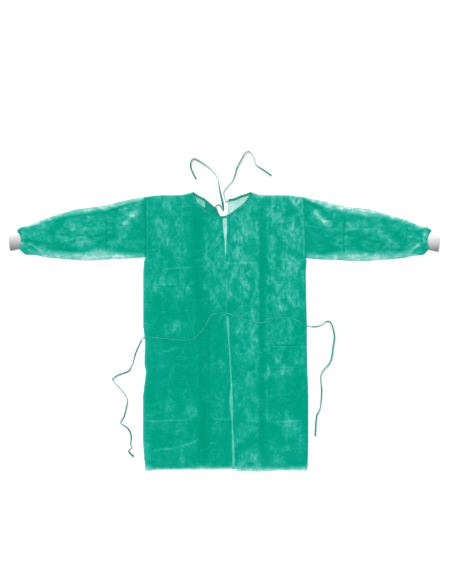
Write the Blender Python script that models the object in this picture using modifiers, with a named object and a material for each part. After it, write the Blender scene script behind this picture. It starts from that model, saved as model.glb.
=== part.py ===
"""A visitor gown of thin non-woven cloth, laid flat on its back.

Units are metres, and the tables are in millimetres.  +X runs to the right as seen from
above, +Y from the hem to the neck, and +Z up from the surface that the gown lies on.  The
origin is on that surface, in the middle of the gown's outline.  "Left" and "right" are as
seen from above.

Each ply of cloth is a wall one millimetre thick.  The two back halves lie on the surface,
open down the middle, and the front panel lies on them.  The sleeves are flattened tubes,
gathered into flattened ribbed cuffs.  A binding runs round the neck and ends in two ties,
and one belt tape crosses the front and runs out on both sides.
"""

import math
from typing import Callable, NamedTuple, Sequence

import bpy
import numpy as np
from mathutils import Vector

MM = 0.001

# ------------------------------------------------------------------ cloth
PLY = 1.0                 # thickness of a ply, mm
GAP = 0.3                 # clearance at a seam and between plies, mm
LAYER = PLY + GAP         # what one ply underneath lifts a panel by
FLAT_TUBE = 2 * PLY + GAP  # height of a flattened tube of cloth
INSET = 0.2               # how far an inner wall's corners stay off its edges
TUBE_CORNER = 0.6         # how far a flattened tube's corners stay off its creased edges
CLOTH_ROUGHNESS = 0.6
KNIT_ROUGHNESS = 0.8

# ------------------------------------------------------------------ sizes
NECK_TOP = 517.0          # the neck points, up from the tables' zero
NECK_CENTRE = -10.0       # middle of the neck opening
NECK_HALF = 125.0         # half the width of the neck opening
ARMHOLE_TOP = 493.0       # where the shoulder seam meets the armhole
ARMHOLE_BOTTOM = 236.0    # the armpit
YOKE = 395.0              # the rows above this level follow the neck and shoulders
TAPE_WIDTH = 10.0         # ties and belt
BINDING_WIDTH = 9.0       # the part of the neck binding that lies on the panel
TABLE_MIDDLE = (0.0, 2.6)  # middle of the whole outline, in the tables' own place

LEFT, RIGHT = -1, 1


class Edge(NamedTuple):
    """Where the body's two side edges are at one level."""
    y: float
    left: float
    right: float


SIDE_EDGES = (
    Edge(-684, -342, 361), Edge(-560, -350, 363), Edge(-369, -350, 363),
    Edge(-261, -337, 359), Edge(-229, -344, 358), Edge(-131, -341, 357),
    Edge(-63, -349, 357), Edge(12, -349, 355), Edge(171, -349, 352),
    Edge(222, -345, 356), Edge(ARMHOLE_BOTTOM, -340, 353), Edge(ARMHOLE_TOP, -341, 344),
    Edge(NECK_TOP, -341, 344),
)


class Hem(NamedTuple):
    """How low the front panel and the back halves hang at one place across."""
    x: float
    front: float
    back: float


HEM = (
    Hem(-342, -687, -683), Hem(-300, -680, -680), Hem(-140, -678, -681),
    Hem(-110, -669, -681), Hem(-70, -669, -681), Hem(-40, -678, -680),
    Hem(33, -676, -678), Hem(48, -678, -692), Hem(100, -680, -688),
    Hem(145, -683, -686), Hem(240, -677, -682), Hem(361, -679, -680),
)


class Drop(NamedTuple):
    """A point of a neckline or shoulder: how far out it is, and how far down."""
    out: float
    down: float


# The front neckline, out from the middle of the neck opening.
FRONT_NECK = (
    Drop(-125, 0), Drop(-119, 17), Drop(-114, 34), Drop(-105, 49), Drop(-88, 62),
    Drop(-76, 70), Drop(-64, 81), Drop(-39, 97), Drop(-9, 105), Drop(8, 105),
    Drop(22, 101), Drop(36, 94), Drop(56, 79), Drop(83, 60), Drop(100, 44),
    Drop(112, 29), Drop(120, 13), Drop(125, 0),
)
# The back necklines, out from the middle of the neck opening to the opening's edge.
BACK_NECK = {
    LEFT: (Drop(-125, 0), Drop(-101, 16), Drop(-74, 29), Drop(-57, 44), Drop(-33, 65),
           Drop(-21, 73)),
    RIGHT: (Drop(125, 0), Drop(104, 9), Drop(84, 14), Drop(56, 27), Drop(28, 32)),
}
# The shoulder: out as a share of its length from the neck point, and down in mm.
SHOULDER = (Drop(0, 0), Drop(0.08, 10.5), Drop(0.33, 13.5), Drop(0.55, 13),
            Drop(0.8, 18), Drop(1, 24))


class Opening(NamedTuple):
    """The inner edges of the two back halves at one level."""
    y: float
    left: float
    right: float


# Between the armpit's level and y = -10 the right half laps over the left one.
BACK_OPENING = (
    Opening(-692, 34, 47), Opening(-643, 34, 46), Opening(-550, 34, 42),
    Opening(-470, 30, 38), Opening(-444, 27, 39), Opening(-408, 22, 39),
    Opening(-385, 21, 38), Opening(-354, 23, 36), Opening(-330, 28, 35),
    Opening(-225, 23, 30), Opening(-131, 17, 24), Opening(-84, 12, 22),
    Opening(-37, 9, 21), Opening(-10, 13, 13), Opening(30, 17, 6), Opening(110, 17, 3),
    Opening(190, 12, 4), Opening(ARMHOLE_BOTTOM, 5, 6), Opening(265, 3, 8), Opening(302, 2, 9),
    Opening(340, -3, 11), Opening(YOKE, -9, 12),
)


class Lift(NamedTuple):
    """A patch that something underneath lifts by one layer, with slopes around it."""
    left: float
    right: float
    low: float
    high: float
    slope: float


BACK_LAP = Lift(-60, 18, -12, 236, 14)
FRONT_LIFTS = (
    Lift(-8, 34, -24, 250, 30),        # over the lap of the back halves
    Lift(-94, -4, 388, 470, 25),       # over the turned corner
    Lift(-152, -112, 488, 530, 25),    # over the left back binding
    Lift(92, 132, 488, 530, 25),       # over the right back binding
)


class Fold(NamedTuple):
    """A fold from the packet, which stands up as a low ridge."""
    at: float
    start: float
    end: float
    rise: float


FOLD_HALF_WIDTH = 12.0
FOLD_FADE = 40.0
FOLDS_ACROSS = (
    Fold(416, -335, -175, 1.2), Fold(189, -320, -105, 1.6), Fold(206, 20, 330, 1.6),
    Fold(58, 200, 335, 1.2), Fold(-145, 165, 345, 1.4), Fold(-243, 15, 345, 1.6),
    Fold(-470, -335, 345, 1.8),
)
FOLDS_UP = (
    Fold(-127, -640, 440, 1.4), Fold(-83, -650, 380, 1.0), Fold(155, -650, 470, 1.0),
    Fold(185, -650, 470, 1.4),
)


class Section(NamedTuple):
    """A line across the left sleeve, from its upper edge to its lower edge."""
    top_x: float
    top_y: float
    low_x: float
    low_y: float
    puff: float


# The first section, at the armhole, comes from SIDE_EDGES.
SLEEVE = (
    Section(-387, 478, -385, 234, 0.8), Section(-438, 462, -430, 232, 1.6),
    Section(-488, 449, -486, 230, 2.2), Section(-514, 447, -501, 229, 1.0),
    Section(-542, 444, -534, 227, 2.0), Section(-590, 439, -590, 224, 2.4),
    Section(-640, 429, -640, 226, 2.2), Section(-692, 417, -692, 230, 2.2),
    Section(-742, 404, -742, 234, 2.4), Section(-780, 393, -778, 237, 1.2),
    Section(-812, 382, -806, 244, 2.0), Section(-836, 372, -824, 246, 2.2),
    Section(-851, 365, -843, 246, 2.2), Section(-872, 364, -866, 246, 2.0),
    Section(-884, 358, -878, 252, 1.6), Section(-890, 345, -885, 268, 1.0),
)
GATHERS = 12              # small pleats across a sleeve's top ply at the cuff
GATHER_RISE = 0.7
GATHER_REACH = 90.0       # how far up the sleeve they run
UNDER_SPANS = 6           # spans across a flattened tube's underside

CUFF_NEAR = Section(-890.3, 343, -885.6, 271, 0)
CUFF_FAR = Section(-934, 326, -927, 263, 0)
CUFF_WALL = 1.2
CUFF_RIBS = 24
CUFF_RIB_RISE = 0.35
CUFF_RINGS = 4

class Turned(NamedTuple):
    """A level of the left half's top corner, which is turned over onto the half."""
    y: float
    outer: float
    joined: bool


# The turned ply stays clear of the binding above, and is joined along the fold below.
TURNED_CORNER = (
    Turned(473, -81, False), Turned(458, -67, False), Turned(442, -50, False),
    Turned(434, -38, False), Turned(427, -24, True), Turned(413, -18, True),
    Turned(399, -12, True),
)
TURNED_INNER = -83.0      # the turned ply's left edge
TURNED_FOLD = 1.5         # width of the fold itself


class Bend(NamedTuple):
    """A point of a tape's middle line.  Tilt 0 lies flat, and 90 stands on its edge."""
    x: float
    y: float
    tilt: float


# Each tie starts a seam's clearance from its binding: the left one beside its outer wall,
# and the right one past its end.
NECK_TIES = {
    LEFT: (
        Bend(-39.8, 452.6, 75), Bend(-30, 461, 75), Bend(-20, 463, 75), Bend(-12, 450, 68),
        Bend(-4, 434, 80), Bend(-3, 446, 60), Bend(-6, 466, 40), Bend(-13, 497, 25),
        Bend(-23, 547, 25), Bend(-26, 569, 45), Bend(-33, 587, 20), Bend(-51, 609, 15),
        Bend(-75, 630, 15), Bend(-128, 661, 30), Bend(-138, 660, 70), Bend(-146, 638, 30),
        Bend(-141, 611, 20), Bend(-121, 572, 20),
    ),
    RIGHT: (
        Bend(16.5, 479.5, -80), Bend(9, 474, -80), Bend(4, 483, -75), Bend(0, 499, -70),
        Bend(-3, 513, -75), Bend(1, 526, -80), Bend(20, 549, -60), Bend(35, 564, -25),
        Bend(47, 595, -15), Bend(56, 624, -15), Bend(73, 656, -20), Bend(90, 687, -30),
        Bend(100, 694, -75), Bend(111, 692, -60), Bend(129, 664, -30), Bend(137, 637, -35),
        Bend(169, 614, -20), Bend(205, 589, -15),
    ),
}
BELT = (
    Bend(-393, -629, 20), Bend(-416, -607, 40), Bend(-399, -586, 60), Bend(-402, -546, 20),
    Bend(-422, -501, 45), Bend(-449, -484, 60), Bend(-427, -430, 20), Bend(-419, -380, 60),
    Bend(-447, -340, 35), Bend(-483, -296, 70), Bend(-447, -274, 45), Bend(-411, -257, 60),
    Bend(-395, -225, 40), Bend(-362, -137, 55), Bend(-350, -114, 62), Bend(-284, -115, 62),
    Bend(-208, -122, 62), Bend(-140, -122, 64), Bend(-106, -93, 62), Bend(-84, -67, 62),
    Bend(-56, -18, 62), Bend(-28, -8, 58), Bend(8, -7, 50), Bend(45, -19, 62),
    Bend(96, -36, 62), Bend(147, -48, 62), Bend(172, -47, 62), Bend(198, -32, 62),
    Bend(286, -29, 62), Bend(318, -39, 62), Bend(357, -62, 60), Bend(399, -65, 62),
    Bend(440, -42, 50), Bend(458, -46, 60), Bend(476, -102, 25), Bend(471, -153, 20),
    Bend(459, -217, 25), Bend(420, -268, 40), Bend(421, -348, 20), Bend(413, -424, 30),
    Bend(401, -447, 45), Bend(393, -540, 20),
)
ROUTE_STEP = 2.0          # spacing of the points that a tape's route is worked out at
TAPE_STEP = 16.0          # longest distance between a tape's sections
TAPE_TURN = 0.5           # largest turn between a tape's sections, radians
TAPE_TWIST = 4.0          # fastest twist, degrees a millimetre
TAPE_SLOPE = 0.15         # steepest climb over what the tape lies on

GREEN = (0.004, 0.392, 0.275, 1.0)
DARK_GREEN = (0.006, 0.30, 0.21, 1.0)
WHITE = (0.80, 0.80, 0.81, 1.0)


# ------------------------------------------------------------------ grids
FRONT_FIRST = -328.0      # the first and last whole columns of the front
FRONT_LAST = 338.0
FRONT_COLUMN = 40.0       # widest column between marks
FRONT_LOWEST = -655.0     # the lowest whole row, above the hem
FRONT_ROW = 70.0          # tallest row between marks
FRONT_CLIMBS = (0.3, 0.6, 0.85, 1.0)    # rows between the yoke and the top edge
BACK_CLIMBS = (0.35, 0.7, 1.0)
BACK_SHARES = (0.0, 0.06, 0.2, 0.36, 0.52, 0.68, 0.82, 0.9, 0.955, 1.0)  # edge to opening
SHOULDER_END = 20.0       # from the armhole to the next point of a back shoulder
ROWS_APART = 7.0          # closest rows of the front
BACK_ROWS_APART = 5.0     # closest rows of the back halves
COLUMNS_APART = 4.0       # closest that a fold's column comes to the neck points
BESIDE_BODY = 4.0         # how far past the body's side edges the belt stays on top


# ------------------------------------------------------------------ reading the tables
def read(rows: Sequence[NamedTuple], at: float, column: str) -> float:
    """Read one column of a table at a place, straight between its rows."""
    places = [row[0] for row in rows]
    values = [getattr(row, column) for row in rows]
    return float(np.interp(at, places, values))


def tent(distance: float, half_width: float) -> float:
    """A ridge's height, from 1 on its line to 0 at its foot."""
    return max(0.0, 1.0 - abs(distance) / half_width)


def reach(value: float, low: float, high: float, slope: float) -> float:
    """1 between low and high, falling to 0 over the slope on each side."""
    return min(1.0, max(0.0, 1.0 - max(low - value, value - high) / slope))


def lifted(lift: Lift, x: float, y: float) -> float:
    """How much a patch lifts the cloth at a point, in mm."""
    across = reach(x, lift.left, lift.right, lift.slope)
    along = reach(y, lift.low, lift.high, lift.slope)
    return LAYER * across * along


def ridges(x: float, y: float) -> float:
    """The height of the packet folds at a point of the front panel, in mm."""
    across = [fold.rise * tent(y - fold.at, FOLD_HALF_WIDTH)
              * reach(x, fold.start + FOLD_FADE, fold.end - FOLD_FADE, FOLD_FADE)
              for fold in FOLDS_ACROSS]
    upward = [fold.rise * tent(x - fold.at, FOLD_HALF_WIDTH)
              * reach(y, fold.start + FOLD_FADE, fold.end - FOLD_FADE, FOLD_FADE)
              for fold in FOLDS_UP]
    return max(across + upward)


def surface(x: float, y: float) -> float:
    """The height of the surface that the gown lies on."""
    return 0.0


def front_underside(x: float, y: float) -> float:
    """The height of the front panel's lower face above the surface, in mm."""
    lift = max(lifted(patch, x, y) for patch in FRONT_LIFTS)
    return LAYER + lift + ridges(x, y)


def back_right_underside(x: float, y: float) -> float:
    """The height of the right back half's lower face, which laps over the left one."""
    return lifted(BACK_LAP, x, y)


def top_line(x: float, neckline: Sequence[Drop]) -> float:
    """The level of a panel's top edge, along a neckline or a shoulder."""
    out = x - NECK_CENTRE
    if abs(out) <= NECK_HALF:
        rows = sorted(neckline)
        return NECK_TOP - read(rows, out, "down")
    armhole = SIDE_EDGES[-1].left if out < 0 else SIDE_EDGES[-1].right
    share = (abs(out) - NECK_HALF) / (abs(armhole - NECK_CENTRE) - NECK_HALF)
    return NECK_TOP - read(SHOULDER, share, "down")


def stations(start: float, end: float, step: float, marks: Sequence[float] = ()) -> list[float]:
    """Places from start to end: the ends, the marks, and even steps between them."""
    clear = [mark for mark in sorted(marks) if start + 1 < mark < end - 1]
    stops = [start] + clear + [end]
    places = [start]
    for low, high in zip(stops, stops[1:]):
        count = max(1, math.ceil((high - low) / step))
        places += [low + (high - low) * (k + 1) / count for k in range(count)]
    return places


def point(x: float, y: float, z: float) -> Vector:
    """A point of the gown in metres, from its place in the tables in millimetres."""
    return Vector(((x - TABLE_MIDDLE[0]) * MM, (y - TABLE_MIDDLE[1]) * MM, z * MM))


# ------------------------------------------------------------------ making objects
def material(name: str, colour: Sequence[float], roughness: float) -> bpy.types.Material:
    """A plain cloth finish."""
    made = bpy.data.materials.new(name)
    made.use_nodes = True
    shader = made.node_tree.nodes["Principled BSDF"]
    shader.inputs["Base Color"].default_value = colour
    shader.inputs["Roughness"].default_value = roughness
    shader.inputs["Metallic"].default_value = 0.0
    return made


def add(name: str, points: Sequence[Vector], faces: Sequence[Sequence[int]],
        finish: bpy.types.Material, collection: bpy.types.Collection) -> bpy.types.Object:
    """Make an object from points and faces."""
    mesh = bpy.data.meshes.new(name)
    mesh.from_pydata([tuple(p) for p in points], [], faces)
    mesh.materials.append(finish)
    mesh.validate()
    made = bpy.data.objects.new(name, mesh)
    collection.objects.link(made)
    return made


def panel(name: str, rows: Sequence[Sequence[Vector]], finish: bpy.types.Material,
          collection: bpy.types.Collection) -> bpy.types.Object:
    """A ply of cloth on rows of points of its lower face, thickened upwards."""
    width = len(rows[0])
    faces = [(r * width + c, r * width + c + 1, (r + 1) * width + c + 1, (r + 1) * width + c)
             for r in range(len(rows) - 1) for c in range(width - 1)]
    made = add(name, [p for row in rows for p in row], faces, finish, collection)
    wall = made.modifiers.new("Ply", "SOLIDIFY")
    wall.thickness = PLY * MM
    wall.offset = 1.0
    return made


def strip(name: str, rings: Sequence[Sequence[Vector]], finish: bpy.types.Material,
          collection: bpy.types.Collection) -> bpy.types.Object:
    """A solid lofted through rings, with a cap on each end."""
    size = len(rings[0])
    faces = [tuple(reversed(range(size)))]
    for r in range(len(rings) - 1):
        low, high = r * size, (r + 1) * size
        faces += [(low + k, low + (k + 1) % size, high + (k + 1) % size, high + k)
                  for k in range(size)]
    last = (len(rings) - 1) * size
    faces.append(tuple(last + k for k in range(size)))
    return add(name, [p for ring in rings for p in ring], faces, finish, collection)


def tube(name: str, outer: Sequence[Sequence[Vector]], inner: Sequence[Sequence[Vector]],
         finish: bpy.types.Material, collection: bpy.types.Collection) -> bpy.types.Object:
    """An open tube with a wall, lofted through outer and inner rings."""
    size = len(outer[0])
    count = len(outer)
    inside = count * size
    faces = []
    for r in range(count - 1):
        low, high = r * size, (r + 1) * size
        for k in range(size):
            after = (k + 1) % size
            faces.append((low + k, low + after, high + after, high + k))
            faces.append((inside + low + after, inside + low + k,
                          inside + high + k, inside + high + after))
    last = (count - 1) * size
    for k in range(size):
        after = (k + 1) % size
        faces.append((after, k, inside + k, inside + after))
        faces.append((last + k, last + after, inside + last + after, inside + last + k))
    points = [p for ring in list(outer) + list(inner) for p in ring]
    return add(name, points, faces, finish, collection)


# ------------------------------------------------------------------ body
def apart(places: Sequence[float], least: float) -> list[float]:
    """The places in order, without those that come too close after another."""
    kept = []
    for place in sorted(places):
        if not kept or place - kept[-1] > least:
            kept.append(place)
    return kept


def fold_marks(folds: Sequence[Fold]) -> list[float]:
    """The two feet and the crest of each fold."""
    return [fold.at + side * FOLD_HALF_WIDTH for fold in folds for side in (-1, 0, 1)]


def front_columns() -> list[float]:
    """Places across the front: its neckline's points, its folds and steps between."""
    neck = [NECK_CENTRE + row.out for row in FRONT_NECK]
    crests = [fold.at for fold in FOLDS_UP if neck[0] < fold.at < neck[-1]]
    low, high = neck[0] - COLUMNS_APART, neck[-1] + COLUMNS_APART
    marks = [x for x in fold_marks(FOLDS_UP) if not low < x < high]
    before = stations(FRONT_FIRST, neck[0], FRONT_COLUMN, marks)[:-1]
    after = stations(neck[-1], FRONT_LAST, FRONT_COLUMN, marks)[1:]
    return before + sorted(neck + crests) + after


def front_rows() -> list[float]:
    """Levels up the front as far as the yoke: its folds, its edges and steps between."""
    over_lap = FRONT_LIFTS[0]
    marks = fold_marks(FOLDS_ACROSS) + [edge.y for edge in SIDE_EDGES]
    marks += [over_lap.low, over_lap.high]
    return stations(FRONT_LOWEST, YOKE, FRONT_ROW, apart(marks, ROWS_APART))


def front_rows_of_points() -> list[list[Vector]]:
    """The front's lower face, from the hem to the neck and shoulders."""
    columns = front_columns()
    rows = []
    for level in [None] + front_rows():
        y_edge = SIDE_EDGES[0].y if level is None else level
        xs = [read(SIDE_EDGES, y_edge, "left")] + columns + [read(SIDE_EDGES, y_edge, "right")]
        ys = [read(HEM, x, "front") if level is None else level for x in xs]
        rows.append([point(x, y, front_underside(x, y)) for x, y in zip(xs, ys)])
    for climb in FRONT_CLIMBS:
        xs = [None] + columns + [None]
        row = []
        for k, x in enumerate(xs):
            side = {0: "left", len(xs) - 1: "right"}.get(k)
            top_x = read(SIDE_EDGES, ARMHOLE_TOP, side) if side else x
            y = YOKE + (top_line(top_x, FRONT_NECK) - YOKE) * climb
            place = read(SIDE_EDGES, y, side) if side else x
            row.append(point(place, y, front_underside(place, y)))
        rows.append(row)
    return rows


def back_rows_of_points(side: int) -> list[list[Vector]]:
    """One back half's lower face, from the hem to the neck and shoulder."""
    edge_name, underside = (("left", surface) if side == LEFT
                            else ("right", back_right_underside))
    levels = [row.y for row in BACK_OPENING[1:]]
    levels += [row.y for row in SIDE_EDGES[1:] if row.y < YOKE]
    rows = []
    for level in [None] + apart(levels, BACK_ROWS_APART):
        y_edge = SIDE_EDGES[0].y if level is None else level
        outer = read(SIDE_EDGES, y_edge, edge_name)
        inner = read(BACK_OPENING, y_edge, edge_name)
        row = []
        for share in BACK_SHARES:
            x = outer + (inner - outer) * share
            y = read(HEM, x, "back") if level is None else level
            row.append(point(x, y, underside(x, y)))
        rows.append(row if side == LEFT else row[::-1])
    neck = BACK_NECK[side]
    yoke_outer = read(SIDE_EDGES, YOKE, edge_name)
    yoke_inner = read(BACK_OPENING, YOKE, edge_name)
    outer = read(SIDE_EDGES, ARMHOLE_TOP, edge_name)
    point_x = NECK_CENTRE + side * NECK_HALF
    tops = [outer, outer - side * SHOULDER_END, (outer + point_x) / 2, point_x]
    tops += [NECK_CENTRE + row.out for row in neck[1:]]
    spare = len(BACK_SHARES) - len(tops)
    tops[3:3] = [tops[2] + (point_x - tops[2]) * (k + 1) / (spare + 1) for k in range(spare)]
    for climb in BACK_CLIMBS:
        row = []
        for share, top_x in zip(BACK_SHARES, tops):
            yoke_x = yoke_outer + (yoke_inner - yoke_outer) * share
            x = yoke_x + (top_x - yoke_x) * climb
            y = YOKE + (top_line(top_x, neck) - YOKE) * climb
            if share == 0.0:
                x = read(SIDE_EDGES, y, edge_name)
            row.append(point(x, y, 0.0))
        rows.append(row if side == LEFT else row[::-1])
    return rows


def turned_corner(finish: bpy.types.Material,
                  collection: bpy.types.Collection) -> bpy.types.Object:
    """The left half's corner that is folded back onto it, with the fold itself."""
    rings = []
    for row in TURNED_CORNER:
        fold = row.outer - TURNED_FOLD
        foot = PLY / 2 if row.joined else LAYER
        profile = ((TURNED_INNER, LAYER), (fold, LAYER), (fold, foot), (row.outer, foot),
                   (row.outer, LAYER + PLY), (TURNED_INNER, LAYER + PLY))
        rings.append([point(x, row.y, z) for x, z in profile])
    return strip("corner_turned_over", rings, finish, collection)


# ------------------------------------------------------------------ neck binding
def opening_way(side: int) -> Vector:
    """The way that a back half's opening edge runs from the yoke up to its neckline."""
    top = NECK_CENTRE + BACK_NECK[side][-1].out
    foot = read(BACK_OPENING, YOKE, "left" if side == LEFT else "right")
    return Vector((top - foot, top_line(top, BACK_NECK[side]) - YOKE)).normalized()


def binding(name: str, xs: Sequence[float], neckline: Sequence[Drop],
            underside: Callable[[float, float], float], finish: bpy.types.Material,
            collection: bpy.types.Collection, first_way: Vector | None = None) -> bpy.types.Object:
    """A strip folded over a neckline: a wall outside the edge and a leg on the panel.

    Its sections stand square to the neckline, but for the first where first_way gives
    the way that it runs across the strip.
    """
    edge = [Vector((x, top_line(x, neckline))) for x in xs]
    rings = []
    for k, here in enumerate(edge):
        before, after = edge[max(k - 1, 0)], edge[min(k + 1, len(edge) - 1)]
        out = Vector((before.y - after.y, after.x - before.x)).normalized()
        if k == 0 and first_way is not None:
            out = first_way / first_way.dot(out)
        low = underside(here.x, here.y)
        inside = here - out * BINDING_WIDTH
        leg = max(low, underside(inside.x, inside.y)) + LAYER

        def corner(distance: float, height: float) -> Vector:
            spot = here + out * distance
            return point(spot.x, spot.y, height)

        rings.append([corner(GAP + PLY, low), corner(GAP + PLY, leg + PLY),
                      corner(-BINDING_WIDTH, leg + PLY), corner(-BINDING_WIDTH, leg),
                      corner(GAP, leg), corner(GAP, low)])
    return strip(name, rings, finish, collection)


# ------------------------------------------------------------------ sleeves and cuffs
def flat_ring(section: Section, heights: Sequence[float], wall: float,
              mirror: int) -> tuple[list[Vector], list[Vector]]:
    """The outer and inner ring of a flattened tube whose underside lies on the surface."""
    top, low = Vector((section.top_x, section.top_y)), Vector((section.low_x, section.low_y))
    width = (low - top).length
    across = (low - top) / width
    spans = len(heights) - 1

    def ring(edge: float, corner: float, lower: float, cut: float) -> list[Vector]:
        places = [(edge, heights[0] / 2)]
        places += [(corner + (width - 2 * corner) * k / spans, heights[k] - cut)
                   for k in range(spans + 1)]
        places += [(width - edge, heights[-1] / 2)]
        places += [(width - corner - (width - 2 * corner) * k / UNDER_SPANS, lower)
                   for k in range(UNDER_SPANS + 1)]
        return [point(-mirror * (top + across * d).x, (top + across * d).y, z)
                for d, z in places]

    outer = ring(0.0, TUBE_CORNER, 0.0, 0.0)
    inner = ring(wall, wall + INSET, wall, wall)
    return (outer, inner) if mirror == RIGHT else (outer[::-1], inner[::-1])


def sleeve_heights(section: Section, to_mouth: float) -> list[float]:
    """Heights across a sleeve's upper ply: a soft puff, with gathers near the cuff."""
    spans = 2 * GATHERS
    fade = max(0.0, 1.0 - to_mouth / GATHER_REACH)
    heights = []
    for k in range(spans + 1):
        arch = math.sin(math.pi * k / spans) ** 0.5
        gather = GATHER_RISE * fade * (k % 2) * min(1.0, 2 * arch)
        heights.append(FLAT_TUBE + section.puff * arch + gather)
    return heights


def sleeve(side: int, finish: bpy.types.Material,
           collection: bpy.types.Collection) -> bpy.types.Object:
    """A sleeve from the armhole to the cuff.  The table's left sleeve is mirrored."""
    name = "left" if side == LEFT else "right"
    armhole = [side * read(SIDE_EDGES, y, name) + GAP for y in (ARMHOLE_TOP, ARMHOLE_BOTTOM)]
    first = Section(-armhole[0], ARMHOLE_TOP, -armhole[1], ARMHOLE_BOTTOM, 0.0)
    mouth = SLEEVE[-1]
    outer, inner = [], []
    for section in (first,) + SLEEVE:
        to_mouth = (section.top_x + section.low_x - mouth.top_x - mouth.low_x) / 2
        rings = flat_ring(section, sleeve_heights(section, to_mouth), PLY, side)
        outer.append(rings[0])
        inner.append(rings[1])
    return tube(f"sleeve_{name}", outer, inner, finish, collection)


def cuff(side: int, finish: bpy.types.Material,
         collection: bpy.types.Collection) -> bpy.types.Object:
    """A flattened knit cuff whose ribs stand up on its outer face."""
    name = "left" if side == LEFT else "right"
    height = 2 * CUFF_WALL + GAP
    heights = [height + CUFF_RIB_RISE * (k % 2) for k in range(2 * CUFF_RIBS + 1)]
    outer, inner = [], []
    for k in range(CUFF_RINGS):
        share = k / (CUFF_RINGS - 1)
        section = Section(*(near + (far - near) * share
                            for near, far in zip(CUFF_NEAR, CUFF_FAR)))
        rings = flat_ring(section, heights, CUFF_WALL, side)
        plain = flat_ring(section, [height] * len(heights), CUFF_WALL, side)
        outer.append(rings[0])
        inner.append(plain[1])
    return tube(f"cuff_{name}", outer, inner, finish, collection)


# ------------------------------------------------------------------ tapes
def smooth_route(bends: Sequence[Bend]) -> np.ndarray:
    """Points every ROUTE_STEP along a smooth curve through a tape's bends."""
    rows = [np.array(bend, dtype=float) for bend in bends]
    rows = [2 * rows[0] - rows[1]] + rows + [2 * rows[-1] - rows[-2]]
    points = []
    for before, start, end, after in zip(rows, rows[1:], rows[2:], rows[3:]):
        knots = [0.0]
        for a, b in ((before, start), (start, end), (end, after)):
            knots.append(knots[-1] + math.sqrt(np.hypot(*(b - a)[:2])))
        count = max(2, round(float(np.hypot(*(end - start)[:2])) / ROUTE_STEP))
        for k in range(count):
            t = knots[1] + (knots[2] - knots[1]) * k / count
            a = blend(before, start, knots[0], knots[1], t)
            b = blend(start, end, knots[1], knots[2], t)
            c = blend(end, after, knots[2], knots[3], t)
            ab = blend(a, b, knots[0], knots[2], t)
            bc = blend(b, c, knots[1], knots[3], t)
            points.append(blend(ab, bc, knots[1], knots[2], t))
    points.append(rows[-2])
    return np.array(points)


def blend(first: np.ndarray, second: np.ndarray, low: float, high: float,
           at: float) -> np.ndarray:
    """The point between two points at a knot value."""
    return first + (second - first) * (at - low) / (high - low)


def no_steeper(values: np.ndarray, steps: np.ndarray, slope: float) -> np.ndarray:
    """Raise values until none falls away faster than the slope, either way."""
    raised = values.copy()
    for k in range(1, len(raised)):
        raised[k] = max(raised[k], raised[k - 1] - slope * steps[k - 1])
    for k in range(len(raised) - 2, -1, -1):
        raised[k] = max(raised[k], raised[k + 1] - slope * steps[k])
    return raised


def tape(name: str, bends: Sequence[Bend], ground: Callable[[float, float], float],
         finish: bpy.types.Material, collection: bpy.types.Collection) -> bpy.types.Object:
    """A flat tape along a route: it stands up where it bends, and lies on the ground."""
    route = smooth_route(bends)
    places, sign = route[:, :2], np.sign(bends[0].tilt)
    steps = np.hypot(*np.diff(places, axis=0).T)
    ways = np.gradient(places, axis=0)
    ways /= np.hypot(*ways.T)[:, None]
    sides = np.stack((-ways[:, 1], ways[:, 0]), axis=1)
    headings = np.unwrap(np.arctan2(ways[:, 1], ways[:, 0]))
    along = np.append(0, np.cumsum(steps))
    turn = np.abs(np.gradient(headings)) / np.gradient(along)
    tightness = np.maximum(turn * TAPE_WIDTH, 1.0)
    stands = np.degrees(np.arccos(1 / tightness))
    tilts = no_steeper(np.maximum(np.abs(route[:, 2]), stands), steps, TAPE_TWIST)
    half = TAPE_WIDTH / 2 * np.cos(np.radians(tilts))
    under = [max(ground(*(place + side * reach_out * share)) for share in (-1, 0, 1))
             for place, side, reach_out in zip(places, sides, half + PLY)]
    window = round(TAPE_STEP / 2 / ROUTE_STEP)
    under = np.array([max(under[max(0, k - window):k + window + 1]) for k in range(len(under))])
    under = no_steeper(under, steps, TAPE_SLOPE)

    rings, length, turned = [], TAPE_STEP, 0.0
    for k, place in enumerate(places):
        if k:
            length += steps[k - 1]
            turned += abs(headings[k] - headings[k - 1])
        if length < TAPE_STEP and turned < TAPE_TURN and k < len(places) - 1:
            continue
        if k == len(places) - 1 and length < ROUTE_STEP and len(rings) > 1:
            rings.pop()
        length, turned = 0.0, 0.0
        angle = math.radians(tilts[k]) * sign
        side = sides[k]
        wide = Vector((*(side * math.cos(angle)), math.sin(angle)))
        thick = Vector((*(side * -math.sin(angle)), math.cos(angle)))
        rise = (TAPE_WIDTH * abs(math.sin(angle)) + PLY * abs(math.cos(angle))) / 2
        middle = Vector((*place, under[k] + rise))
        corners = [middle + wide * TAPE_WIDTH / 2 * a + thick * PLY / 2 * b
                   for a, b in ((1, -1), (1, 1), (-1, 1), (-1, -1))]
        rings.append([point(*spot) for spot in corners])
    return strip(name, rings, finish, collection)


def body_top(x: float, y: float) -> float:
    """The height of what the belt lies on: the front panel, or the surface beside it."""
    left, right = read(SIDE_EDGES, y, "left"), read(SIDE_EDGES, y, "right")
    if left - BESIDE_BODY < x < right + BESIDE_BODY:
        return front_underside(min(max(x, left), right), y) + PLY + GAP
    return surface(x, y)


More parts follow.
